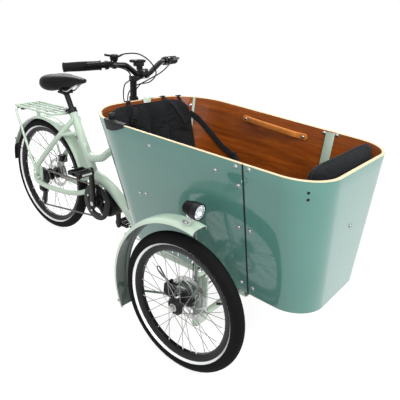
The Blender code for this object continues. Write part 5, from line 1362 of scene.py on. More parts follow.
def chain_strand(pins):
    """Inner and outer links: pairs of waisted plates on rollers, with a pin head at each joint."""
    outline = there_and_back([(-0.0036, 0), (-0.0022, 0.0031), (0.001, 0.0037), (0.0063, 0.0024), (0.0117, 0.0037),
                              (0.0149, 0.0031), (0.0163, 0)])[:-1]
    shapes = []
    for k, pin in enumerate(pins):
        following = pins[(k + 1) % len(pins)]
        gap = (0.0024, 0.0033) if k % 2 else (0.0034, 0.0043)
        along = (following - pin).normalized()
        across = Vector((-along.y, along.x))
        spots = [pin + along * a + across * b for a, b in outline]
        for side in (1, -1):
            faces = sorted(CHAIN_Y + off * side for off in gap)
            shapes.append(plate([(p.x, p.y) for p in spots], *faces))
        centre = Vector((pin.x, CHAIN_Y, pin.y))
        reach = sideways(0.0047)
        shapes.append(rod(centre - reach, centre + reach, 0.0018, 10))
        shapes.append(rod(centre - reach * 0.5, centre + reach * 0.5, 0.0038, 12))
    piece("chain_strand", merged(shapes), "frame", CHAIN_STEEL, ["chain"], 30)


def crank_parts(pins):
    """Chain ring with its guard and five-armed spider, two tapered arms, axle and bolts."""
    centre = (CRANK.x, CRANK.z)
    phase = phase_of(pins, centre, pitch_radius(RING_TEETH))
    guard_ring = [(0.06, 0), (0.0915, 0), (0.093, 0.0009), (0.093, 0.002), (0.0915, 0.0028), (0.06, 0.0028)]
    shapes = [toothed(centre, RING_TEETH, phase, CHAIN_Y - 0.0011, CHAIN_Y + 0.0011, 0.06),
              turned(guard_ring, (0, -1, 0), CRANK + sideways(CHAIN_Y - 0.0077), 96, ring=True)]
    bolts = []
    for k in range(5):
        out = on_wheel(1, math.radians(72 * k + 18))
        tip = CRANK + sideways(CHAIN_Y) + out * 0.0655
        root = CRANK + sideways(CHAIN_Y - 0.006) + out * 0.012
        path = [root.lerp(tip - sideways(0.004), share / 4) for share in range(5)]
        widths = [1.25, 1.0, 0.85, 0.8, 0.85]
        shapes.append(swept(path, oblong(0.0095, 0.0032, 0.0016), up=out.cross((0, 1, 0)), scales=widths))
        bolts.append(rod(tip - sideways(0.0125), tip + sideways(0.003), 0.0052, 20, 0.0008))
    boss = CRANK + sideways(CHAIN_Y + 0.0035)
    shapes.append(rod(CRANK + sideways(CHAIN_Y - 0.026), boss, 0.024, 40, 0.002))
    shapes.append(disc([(0.0325, 0), (0.0325, 0.006), (0.026, 0.0105)], (0, -1, 0), boss, 40))
    for side in (-1, 1):
        low, high = sorted((0.072 * side, 0.086 * side))
        tip = (CRANK.x, CRANK.z - CRANK_LENGTH * side)
        shapes.append(plate(two_circles(centre, 0.017, tip, 0.0125, 18), low, high, bevel=0.003))
        cap = [(0.0105, 0), (0.0105, 0.0012), (0.0085, 0.0026), (0.004, 0.0026), (0.004, 0.0008)]
        bolts.append(disc(cap, (0, side, 0), CRANK + sideways(0.086 * side), 28))
    shapes.append(crossways(CRANK.x, CRANK.z, -0.075, 0.079, 0.0108, 28))
    shapes.append(crossways(CRANK.x, CRANK.z, 0.0595, 0.08, 0.0165, 28, 0.001))
    piece("crank_arms", merged(shapes), "crank", BLACK_METAL, ["crankset"], 40)
    piece("crank_bolts", merged(bolts), "crank", STEEL)


def pedals():
    """Platform pedals: an open cage with studs and steps, round a tapered spindle body."""
    for side, name in SIDES:
        base = CRANK - UP * (CRANK_LENGTH * side)
        low, high = sorted((0.094 * side, 0.18 * side))
        shapes = []
        for x in (-0.0385, 0.0385):
            shapes.append(block((x - 0.0045, low, -0.01), (x + 0.0045, high, 0.01), 0.0022))
            for k in range(6):
                y = low + 0.012 + 0.0124 * k
                shapes.append(block((x - 0.0046, y - 0.0022, -0.0116), (x + 0.0046, y + 0.0022, 0.0116), 0.001))
        for y in (low + 0.005, high - 0.005):
            shapes.append(block((-0.0385, y - 0.005, -0.0085), (0.0385, y + 0.005, 0.0085), 0.002))
        shell = [(0.0115, 0), (0.0125, 0.003), (0.0095, 0.012), (0.0085, 0.06), (0.0105, 0.072), (0.0095, 0.0855)]
        shapes.append(disc(shell, (0, side, 0), (0, 0.0945 * side, 0), 28))
        body = f"pedal_{name}"
        piece(f"pedal_cage_{name}", moved(merged(shapes), base), body, BLACK_PLASTIC, [body])
        axle = rod(sideways(0.0725 * side), sideways(0.1 * side), 0.0062, 20, 0.0006)
        flange = rod(sideways(0.0866 * side), sideways(0.0925 * side), 0.009, 6, 0.0008)
        piece(f"pedal_axle_{name}", moved(merged([axle, flange]), base), body, STEEL)
        strips = []
        for x in (-0.0435, 0.0435):
            strips.append(block((x - 0.0006, low + 0.016, -0.0045), (x + 0.0006, high - 0.016, 0.0045), 0.0003))
        piece(f"pedal_reflector_{name}", moved(merged(strips), base), body, REFLECTOR)


def sprockets(pins):
    centre = (REAR_AXLE.x, REAR_AXLE.z)
    phase = phase_of(pins, centre, -pitch_radius(SPROCKET_TEETH))
    shapes = [toothed(centre, SPROCKET_TEETH, phase, CHAIN_Y - 0.0009, CHAIN_Y + 0.0009, 0.017),
              toothed(centre, 24, 0.1, CHAIN_Y + 0.0076, CHAIN_Y + 0.0094, 0.017),
              toothed(centre, 13, 0.2, CHAIN_Y - 0.006, CHAIN_Y - 0.0044, 0.013)]
    profile = [(0.0062, -0.0085), (0.015, -0.0085), (0.0165, -0.007), (0.0165, -0.003), (0.0175, 0.0),
               (0.0175, 0.0315), (0.0062, 0.0315)]
    shapes.append(turned(profile, (0, 1, 0), REAR_AXLE + sideways(CHAIN_Y), 36, ring=True))
    piece("sprocket_stack", merged(shapes), "cassette", CHAIN_STEEL, ["cassette"], 30)


def derailleur_parts(tension):
    """Hanger, knuckle body with its spring barrel, cage of two plates and the two chain wheels."""
    x = REAR_AXLE.x
    outline = two_circles(GUIDE, 0.011, tension, 0.01)
    shapes = [plate(outline, CHAIN_Y + low, CHAIN_Y + low + 0.0022, bevel=0.0005) for low in (-0.0085, 0.0063)]
    shapes.append(block((x - 0.012, CHAIN_Y - 0.026, 0.228), (x + 0.016, CHAIN_Y - 0.009, 0.25), 0.005))
    shapes.append(crossways(x, 0.252, CHAIN_Y - 0.026, CHAIN_Y - 0.01, 0.011, 28, 0.002))
    shapes.append(crossways(GUIDE.x, GUIDE.y, CHAIN_Y - 0.024, CHAIN_Y - 0.008, 0.012, 28, 0.002))
    hanger = [(x - 0.01, 0.248), (x + 0.01, 0.248), (x + 0.012, 0.29), (x - 0.012, 0.29)]
    shapes.append(plate(hanger, -0.0715, -0.0655, bevel=0.001))
    piece("derailleur_cage", merged(shapes), "frame", BLACK_METAL, ["rear_derailleur"])
    wheels, screws = [], []
    for centre in (GUIDE, Vector(tension)):
        tooth = ((0.0, 0.0158), (0.25, 0.0172), (0.42, 0.02), (0.58, 0.02), (0.75, 0.0172))
        wheels.append(plate(cogged(centre, 11, 0, tooth), CHAIN_Y - 0.0012, CHAIN_Y + 0.0012, bevel=0.0003))
        spot = Vector((centre.x, CHAIN_Y, centre.y))
        wheels.append(rod(spot - sideways(0.0062), spot + sideways(0.0062), 0.005, 20))
        screws += [dome_bolt(spot + sideways(0.0084 * side), (0, side, 0), 0.0042, 0.002) for side in (1, -1)]
    piece("derailleur_wheels", merged(wheels), "frame", BLACK_PLASTIC)
    piece("derailleur_screws", merged(screws), "frame", STEEL)


# Saddle, rack, rear guard and tail lamp
def seat_parts():
    """Clamp collar with its bolt, post with its clamped head, and the saddle's rails."""
    low = SEAT_TOP + SEAT_AXIS * 0.0003
    ring = turned([(0.0143, 0), (0.0215, 0), (0.0225, 0.001), (0.0225, 0.023), (0.0215, 0.024), (0.0143, 0.024)],
                  SEAT_AXIS, low, 40, ring=True)
    lug = block((-1.096, -0.022, 0.681), (-1.0748, 0.022, 0.693), 0.002)
    piece("clamp_collar", merged([ring, lug]), "frame", BLACK_GLOSS, ["seat_clamp"])
    piece("clamp_bolt", hexagon((-1.086, -0.022, 0.687), (0, -1, 0), 0.0042, 0.0035), "frame", STEEL)
    head = SEAT_TOP + SEAT_AXIS * 0.106
    post = rod(SEAT_TOP - SEAT_AXIS * 0.115, head, 0.0136, 40, 0.001)
    piece("post_tube", post, "seatpost", BLACK_GLOSS, ["seatpost"])
    clamps = [block((-1.126, -0.03, 0.767), (-1.08, 0.03, 0.7785), 0.003),
              block((-1.124, -0.03, 0.785), (-1.082, 0.03, 0.795), 0.003),
              crossways(-1.103, 0.782, -0.034, 0.034, 0.004, 16, 0.0006),
              turned([(0, 0), (0.0165, 0), (0.0185, 0.01), (0.015, 0.016), (0, 0.018)], SEAT_AXIS,
                     head - SEAT_AXIS * 0.01, 32)]
    clamps += [upright(-1.103, y, 0.764, 0.798, 0.0034, 12, 0.0006) for y in (0.02, -0.02)]
    piece("post_head", merged(clamps), "seatpost", BLACK_METAL)
    rails = []
    for side in (1, -1):
        line = sided(side, (-1.193, 0.04, 0.803), (-1.15, 0.022, 0.782), (-1.06, 0.022, 0.782),
                     (-0.972, 0.008, 0.834))
        rails.append(tube(bent(line, 0.02), 0.0036, 16))
    piece("saddle_rails", merged(rails), "seatpost", STEEL)


def saddle():
    """A moulded saddle: half widths, undersides and tops at places along it, with a groove and a sewn edge."""
    keys = [(-1.2175, 0.03, 0.802, 0.828), (-1.213, 0.056, 0.79, 0.838), (-1.2, 0.078, 0.777, 0.848),
            (-1.165, 0.088, 0.772, 0.854), (-1.12, 0.078, 0.78, 0.857), (-1.075, 0.052, 0.793, 0.857),
            (-1.03, 0.033, 0.806, 0.857), (-0.99, 0.025, 0.82, 0.855), (-0.956, 0.0175, 0.831, 0.851),
            (-0.949, 0.008, 0.836, 0.847)]
    widths, heights = (sorted(flowing(line, 0.008), key=lambda spot: spot.x) for line in (
        [(x, half, 0) for x, half, _, _ in keys], [(x, low, high) for x, _, low, high in keys]))
    rows, seams = [], ([], [])
    for spot in widths:
        after = next((h for h in heights if h.x >= spot.x), heights[-1])
        before = next((h for h in heights[::-1] if h.x <= spot.x), heights[0])
        share = (spot.x - before.x) / (after.x - before.x) if after.x > before.x else 0
        level = before.lerp(after, share)
        mid, rise = (level.y + level.z) / 2, (level.z - level.y) / 2
        row = []
        for turn in around(44):
            y, z = spot.y * power_of(math.cos(turn), 0.7), mid + rise * power_of(math.sin(turn), 0.8)
            if math.sin(turn) > 0:
                z -= 0.0035 * math.exp(-(y / 0.007) ** 2) * min(1, max(0, (spot.x + 1.2) / 0.03))
            row.append(Vector((spot.x, y, z)))
        rows.append(row)
        for index, sign in ((0, 1), (1, -1)):
            seams[index].append(Vector((spot.x, spot.y * sign * 0.995, mid - rise * 0.16)))
    shell = cut(skin(rows), block((-1.182, -0.036, 0.7), (-1.06, 0.036, 0.803)))
    cover = piece("saddle_pad", shell, "seatpost", SADDLE_SKIN, ["saddle"], 60)
    path = seams[0] + seams[1][::-1]
    piece("saddle_piping", tube(path, 0.0015, 8, ring=True), "seatpost", BLACK_PLASTIC)


def rack_tubes():
    """A five-railed deck on one hoop of tube whose legs stand beside the stays."""
    deck_z, half, rear_x, front_x = 0.668, 0.074, -1.453, -1.12
    tip_x = front_x + 0.03
    loop = bent([(-1.3, half, deck_z), (rear_x, half, deck_z), (rear_x, -half, deck_z), (-1.3, -half, deck_z)], 0.02)
    loop += bent([(front_x, -half, deck_z), (tip_x, -half * 0.5, deck_z + 0.003), (tip_x, half * 0.5, deck_z + 0.003),
                  (front_x, half, deck_z)], 0.02)
    shapes = [tube(loop, 0.0062, 16, ring=True)]
    for y in (-half / 2, 0, half / 2):
        shapes.append(rod((rear_x + 0.002, y, deck_z), (tip_x - 0.003, y, deck_z + 0.003), 0.0052, 16))
    foot_x, hoop_x, hoop_y, hoop_z = -1.292, -1.428, 0.087, deck_z - 0.0095
    hoop = [(foot_x, hoop_y, 0.345), (hoop_x, hoop_y, hoop_z), (hoop_x, -hoop_y, hoop_z), (foot_x, -hoop_y, 0.345)]
    shapes.append(tube(bent(hoop, 0.022), 0.0062, 20))
    shapes.append(crossways(-1.215, deck_z - 0.002, -half, half, 0.0042, 16))
    shapes.append(tube(bent([(-1.082, 0, 0.671), (-1.07, 0, 0.654), (-1.046, 0, 0.64)], 0.01), 0.005, 16))
    shapes.append(rod((-1.092, 0, 0.671), (-1.08, 0, 0.671), 0.005, 16))
    shapes.append(block((-1.464, -0.04, 0.6595), (-1.438, 0.04, 0.6665), 0.0012))
    flat = plate(two_circles((foot_x, 0.352), 0.0095, (foot_x, 0.33), 0.009), 0.071, 0.09, bevel=0.001)
    shapes += [flat, reflected(flat)]
    piece("rack_tubes", merged(shapes), "frame", MINT, ["rear_rack"], 45)
    bolts = [dome_bolt((foot_x, 0.09 * side, 0.336), (0, side, 0), 0.0052, 0.0035) for side in (1, -1)]
    piece("rack_bolts", merged(bolts), "frame", CHROME)


def rear_guard():
    """The rear mudguard with its flap, its bracket under the rack and its wire stays."""
    mesh = guard(REAR_AXLE, 0.318, 8, 158, 0.031, 0.01, 80)
    piece("rear_guard", mesh, "frame", MINT, ["rear_fender"], 60)
    rows = []
    for k in range(16):
        out = on_wheel(1, math.radians(155.5 + 20.5 * k / 15))
        half = 0.0262 - 0.004 * (k / 15) ** 2
        row = [(-0.0035, -half), (-0.0005, -half), (0.0006, -half * 0.5), (0.001, 0), (0.0006, half * 0.5),
               (-0.0005, half), (-0.0035, half), (-0.002, half * 0.5), (-0.0016, 0), (-0.002, -half * 0.5)]
        rows.append([REAR_AXLE + out * (0.3215 + rise) + sideways(y) for rise, y in row])
    piece("mud_flap", skin(rows), "frame", BLACK_PLASTIC, angle=60)
    stays = []
    for degrees, lift in ((150, 0), (132, 0.006)):
        out = on_wheel(1, math.radians(degrees))
        for side in (1, -1):
            rim_spot = REAR_AXLE + out * 0.313 + sideways(0.032 * side)
            foot = Vector((-1.3005, 0.0745 * side, 0.366)) + UP * lift
            bend_spot = rim_spot.lerp(foot, 0.1) + sideways(0.01 * side)
            stays.append(tube(bent([rim_spot, bend_spot, foot], 0.01), 0.0017, 10))
            stays.append(rod(rim_spot - sideways(0.002 * side), rim_spot + sideways(0.004 * side), 0.004, 14, 0.0006))
    bracket = block((-1.365, -0.006, 0.612), (-1.345, 0.006, 0.664), 0.001)
    piece("guard_bracket", bracket, "frame", MINT)
    piece("guard_stays", merged(stays), "frame", BLACK_METAL)


def tail_lamp():
    """Black housing on a stem under the rack's tail plate, with a ribbed red lens facing back."""
    housing = [block((-1.484, -0.027, 0.631), (-1.469, 0.027, 0.665), 0.0055, 4),
               block((-1.472, -0.008, 0.645), (-1.456, 0.008, 0.664), 0.0015)]
    piece("tail_housing", merged(housing), "frame", BLACK_PLASTIC, ["tail_light"])
    lens = [block((-1.4895, -0.0245, 0.6335), (-1.481, 0.0245, 0.6625), 0.004, 4)]
    ribs = [-0.018 + 0.006 * k for k in range(7)]
    lens += [upright(-1.489, y, 0.637, 0.659, 0.0011, 8, 0.0004) for y in ribs]
    piece("tail_lens", merged(lens), "frame", RED_LENS)


# Steering and controls
def column_parts():
    """Steerer, collars, stem with its clamp and bolts, and the arm that drives the drag link."""
    shapes = [
        upright(STEER_X, 0, 0.174, 0.89, 0.0143, 40, 0.001),
        turned([(0.0143, 0), (0.022, 0), (0.0285, 0.0045), (0.03, 0.0065), (0.03, 0.014), (0.0285, 0.0155),
                (0.0143, 0.0155)], UP, (STEER_X, 0, 0.7005), 44),
        upright(STEER_X, 0, 0.8785, 0.902, 0.018, 40, 0.0015),
        upright(STEER_X, 0, 0.7165, 0.7265, 0.0195, 36, 0.001),
        rod((STEER_X + 0.004, 0, 0.889), (-0.566, 0, 0.9135), 0.015, 32, 0.002),
        rod(BAR - sideways(0.023), BAR + sideways(0.023), 0.0168, 36, 0.003),
        upright(STEER_X, 0, 0.742, 0.754, 0.0178, 36, 0.001),
        upright(STEER_X, 0, 0.798, 0.816, 0.0185, 36, 0.0012),
        block((STEER_X + 0.012, -0.007, 0.8), (STEER_X + 0.0235, 0.007, 0.814), 0.0015),
        plate(two_circles((STEER_X, 0), 0.0165, (STEER_X, -STEER_ARM), 0.01), 0.172, 0.177, "XY", 0.001),
        turned([(0.0114, -0.021), (0.019, -0.021), (0.02, -0.02), (0.02, 0.02), (0.019, 0.021),
                (0.0114, 0.021)], (0, 1, 0), BAR, 40, ring=True),
    ]
    piece("column_tube", merged(shapes), "steering", BLACK_GLOSS, ["steering_column"], 40)
    cap = [(0.0125, 0), (0.0125, 0.0015), (0.01, 0.003), (0.0045, 0.003), (0.0045, 0.001)]
    bolts = [hexagon((STEER_X, -STEER_ARM, 0.177), -UP, 0.0055, 0.0085),
             upright(STEER_X, -STEER_ARM, 0.174, 0.1935, 0.0032),
             disc(cap, UP, (STEER_X, 0, 0.902), 32)]
    for y in (-0.013, 0.013):
        for z in (-0.0135, 0.0135):
            spot = Vector((-0.5425, y, 0.916 + z))
            bolts.append(rod(spot - X * 0.01, spot + X * 0.002, 0.0034, 16, 0.0006))
    piece("column_bolts", merged(bolts), "steering", STEEL)


def grip_line(side):
    """The grip's inner and outer end, and the direction from one to the other."""
    inner = Vector((-0.59, 0.15 * side, 0.956))
    outer = Vector((-0.668, 0.306 * side, 0.948))
    return inner, outer, (outer - inner).normalized()


def clamp_place(side):
    """Middle of the brake lever's clamp, on the bar."""
    inner, _, along = grip_line(side)
    return inner + along * 0.012


def lever_pivot(side):
    return clamp_place(side) + Vector((0.03, 0, 0.007))


def shifter_place():
    return grip_line(-1)[0] + Vector((0.004, 0.018, 0.026))


def bar_parts():
    half = [(-0.668, -0.306, 0.948), (-0.59, -0.15, 0.956), (-0.56, -0.096, 0.955), (-0.56, -0.036, 0.916),
            (-0.56, 0, 0.916)]
    line = bent(half + [(x, -y, z) for x, y, z in half[-2::-1]], 0.035, 10)
    shapes = [tube(line, 0.0111, 32)]
    bolts = []
    for side in (1, -1):
        clamp, along = clamp_place(side), grip_line(side)[2]
        ring = [(0.0112, -0.006), (0.0155, -0.006), (0.0165, -0.005), (0.0165, 0.007), (0.0155, 0.008), (0.0112, 0.008)]
        shapes.append(turned(ring, along, clamp, 36, ring=True))
        post = clamp + Vector((0.03, 0, 0.003))
        drop = UP * 0.0035
        shapes.append(swept([clamp - drop, post - drop], oblong(0.0085, 0.005, 0.003), up=along))
        shapes.append(rod(post - UP * 0.008, post + drop, 0.0078, 28, 0.001))
        barrel = post + Vector((0.004, -0.001 * side, -0.003))
        shapes.append(rod(barrel, barrel + Vector((0.0085, -0.001 * side, 0)), 0.0042, 20, 0.0008))
        bolts.append(hexagon(clamp + Vector((-0.004, 0, -0.015)), -UP, 0.0036, 0.0035))
        bolts.append(dome_bolt(lever_pivot(side) + UP * 0.0085, UP, 0.0045, 0.0022))
    seat = grip_line(-1)[0] + Vector((0.004, 0.018, 0.004))
    shapes.append(rod(seat, shifter_place() - UP * 0.0005, 0.007, 24))
    shapes.append(disc([(0.0085, -0.017), (0.013, -0.012), (0.0158, -0.005), (0.0162, -0.0006)], UP,
                       shifter_place(), 36))
    shapes.append(turned([(0.0112, -0.007), (0.016, -0.007), (0.016, 0.007), (0.0112, 0.007)], (0.28, 0.5, 0),
                         seat - UP * 0.004, 32, ring=True))
    piece("bar_tube", merged(shapes), "steering", BLACK_GLOSS, ["handlebar"], 40)
    piece("bar_bolts", merged(bolts), "steering", STEEL)


def grip_parts():
    """Ribbed rubber grips, waisted in the middle, with a flange at the inner end."""
    for side, name in SIDES:
        inner, outer, along = grip_line(side)
        start = inner + along * 0.036
        tip = (outer - start).length + 0.0004
        profile = [(0.0117, 0), (0.018, 0.0), (0.0188, 0.0012), (0.0186, 0.004), (0.0166, 0.0068)]
        ribbed, count = tip - 0.018, 22
        pitch = ribbed / count
        for k in range(count):
            base = 0.0163 + 0.001 * math.sin(math.pi * k / count) ** 2
            place = 0.01 + ribbed * k / count
            profile += [(base, place), (base + 0.0008, place + pitch * 0.25), (base + 0.0008, place + pitch * 0.6),
                        (base, place + pitch * 0.85)]
        profile += [(0.0172, tip - 0.004), (0.018, tip), (0.017, tip + 0.003), (0.013, tip + 0.004),
                    (0, tip + 0.004)]
        sleeve = turned(profile, along, start, 40)
        piece(f"grip_sleeve_{name}", sleeve, "steering", GRIP, [f"grip_{name}"], 50)


def lever_parts():
    for side, name in SIDES:
        pivot, along = lever_pivot(side), grip_line(side)[2]
        marks = ((0, 0.001), (0.02, 0.012), (0.06, 0.0135), (0.095, 0.016), (0.108, 0.0195))
        path = flowing([pivot + UP * 0.0058 + along * reach + X * forward for reach, forward in marks], 0.006)
        count = len(path)
        scales = [1.15 - 0.3 * k / count for k in range(count)]
        scales[-1] = 0.7
        blade = swept(path, oblong(0.0052, 0.003, 0.0022, 3), up=UP, scales=scales)
        eye = rod(pivot, pivot + UP * 0.0085, 0.0078, 28, 0.001)
        blade = merged([blade, eye])
        piece(f"lever_blade_{name}", blade, f"lever_{name}", BLACK_GLOSS, [f"brake_lever_{name}"])


def shifter_parts():
    place = shifter_place()
    drum = turned([(0, 0), (0.015, 0), (0.0165, 0.0015), (0.018, 0.004), (0.018, 0.009), (0.0168, 0.0112),
                   (0.012, 0.0134), (0.006, 0.0143), (0, 0.0145)], UP, place, 40)
    paddle = [place + Vector(step) for step in ((-0.01, 0, 0.006), (-0.03, -0.006, 0.007), (-0.038, -0.016, 0.009))]
    lever = swept(bent(paddle, 0.01), oblong(0.0042, 0.003, 0.002, 3), up=UP)
    barrel = rod(place + Vector((0.012, 0.002, 0.006)), place + Vector((0.0215, 0.004, 0.006)), 0.004, 16, 0.0008)
    piece("shifter_drum", merged([drum, lever, barrel]), "shifter", BLACK_PLASTIC, ["gear_shifter"])
    marks = []
    for x, y in arc((0, 0), 0.0148, -60, 60, 6):
        spot = place + Vector((x, y, 0.0118))
        marks.append(rod(spot - UP * 0.001, spot + UP * 0.0003, 0.0007, 8))
    piece("shifter_marks", merged(marks), "shifter", REFLECTOR)


def display_parts():
    """Flat display on a leg in front of the stem, with a dark screen and three buttons."""
    case = block((-0.612, -0.03, 0.9575), (-0.574, 0.03, 0.969), 0.0038, 4)
    leg = merged([block((-0.59, -0.012, 0.928), (-0.574, 0.012, 0.96), 0.003, 3),
                  block((-0.6, -0.021, 0.943), (-0.5735, 0.021, 0.96), 0.005, 4)])
    band = turned([(0.0108, -0.01), (0.014, -0.01), (0.014, 0.01), (0.0108, 0.01)], (0, 1, 0), BAR, 28, ring=True)
    arm = swept([(-0.566, 0, 0.922), (-0.581, 0, 0.933)], oblong(0.009, 0.003, 0.0015, 3), up=(0, 1, 0))
    piece("display_case", merged([case, leg, band, arm]), "steering", BLACK_PLASTIC, ["display_unit"])
    screen = block((-0.6085, -0.0225, 0.9684), (-0.583, 0.0225, 0.9698), 0.0006)
    piece("display_screen", screen, "steering", SCREEN)
    buttons = [upright(-0.5785, y, 0.9684, 0.97, 0.0024, 20, 0.0005) for y in (-0.014, 0, 0.014)]
    piece("display_buttons", merged(buttons), "steering", GRIP)


CABLE_R = 0.0025


def cable_runs():
    """Outer cables from the levers and the shifter to the ports at the top of the head tube."""
    port_z = 0.7173
    left_post = lever_pivot(1) + Vector((0.012, -0.002, -0.006))
    right_post = lever_pivot(-1) + Vector((0.012, 0.002, -0.006))
    pod = shifter_place() + Vector((0.02, 0.004, 0.006))
    routes = {
        "cable_brake_left": [left_post, (-0.54, 0.12, 0.938), (-0.556, 0.092, 0.912), (-0.594, 0.064, 0.884),
                             (-0.632, 0.044, 0.856), (-0.65, 0.03, 0.812), (-0.648, 0.022, 0.76),
                             (-0.6405, 0.016, port_z)],
        "cable_brake_right": [right_post, (-0.534, -0.112, 0.938), (-0.566, -0.064, 0.9), (-0.63, -0.04, 0.866),
                              (-0.652, -0.028, 0.812), (-0.648, -0.018, 0.76), (-0.641, -0.014, port_z)],
        "cable_gear": [pod, (-0.55, -0.105, 0.999), (-0.534, -0.05, 0.997), (-0.526, 0.006, 0.966),
                       (-0.532, 0.046, 0.918), (-0.574, 0.052, 0.878), (-0.63, 0.03, 0.86),
                       (-0.656, 0.006, 0.826), (-0.658, 0.001, 0.77), (-0.6465, 0.001, port_z)],
    }
    for name, points in routes.items():
        path = flowing(points, 0.006)
        relief = tube(path[:5], 0.0036, 14, scales=[1.1, 1.05, 1.0, 0.9, 0.72])
        hose = merged([tube(path, CABLE_R, 14), relief])
        cable = piece(name.replace("cable", "hose"), hose, "steering", BLACK_PLASTIC, [name])


# Steering linkage and front axle
def ball_end(place, radius):
    """The ring of a rod end, round the pin that it turns on."""
    profile = [(0.0038, -0.0043), (radius, -0.0043), (radius + 0.0006, -0.0025), (radius + 0.0006, 0.0025),
               (radius, 0.0043), (0.0038, 0.0043)]
    return turned(profile, UP, place, 28, ring=True)


def linkage():
    arm, pin_r = STEER_ARM, 0.0032
    plates = [plate(two_circles((0, 0), 0.013, end, 0.0095), 0.1748, 0.18, "XY", 0.0008)
              for end in ((0, -arm), (-arm, 0))]
    plates.append(upright(0, 0, 0.1745, 0.1805, 0.0135, 32, 0.0006))
    piece("bell_crank_plate", merged(plates), "bell_crank", BLACK_METAL, ["bell_crank"])
    pins = [hexagon((0, 0, 0.1805), UP, 0.0075, 0.005),
            upright(0, -arm, 0.178, 0.192, pin_r), hexagon((0, -arm, 0.18), UP, 0.0048, 0.002),
            upright(-arm, 0, 0.178, 0.2035, pin_r), hexagon((-arm, 0, 0.18), UP, 0.0048, 0.008)]
    piece("bell_crank_pins", merged(pins), "bell_crank", STEEL)
    link_z, tie_z = 0.1865, 0.1975
    link = [ball_end((x, -arm, link_z), 0.0082) for x in (STEER_X, 0)]
    link.append(rod((STEER_X + 0.03, -arm, link_z), (-0.03, -arm, link_z), 0.0042, 20))
    for x, toward in ((STEER_X, 1), (0, -1)):
        first, second, third = (Vector((x + reach * toward, -arm, link_z)) for reach in (0.007, 0.036, 0.041))
        link += [rod(first, second, 0.0052, 20, 0.001), rod(second, third, 0.0066, 6, 0.0006)]
    piece("drag_rod", merged(link), "drag_link", STEEL, ["drag_link"])
    tie = [ball_end((-arm, y, tie_z), 0.0086) for y in (-KINGPIN_Y, 0, KINGPIN_Y)]
    for side in (1, -1):
        middle_end, outer_end, first, second, third = sided(side, *(
            (-arm, y, tie_z) for y in (0.007, *(KINGPIN_Y - reach for reach in (0.007, 0.008, 0.038, 0.043)))))
        tie += [rod(middle_end, outer_end, 0.0042, 20), rod(first, second, 0.0053, 20, 0.001),
                rod(second, third, 0.0066, 6, 0.0006)]
    piece("tie_rod_bar", merged(tie), "tie_rod", STEEL, ["tie_rod"])


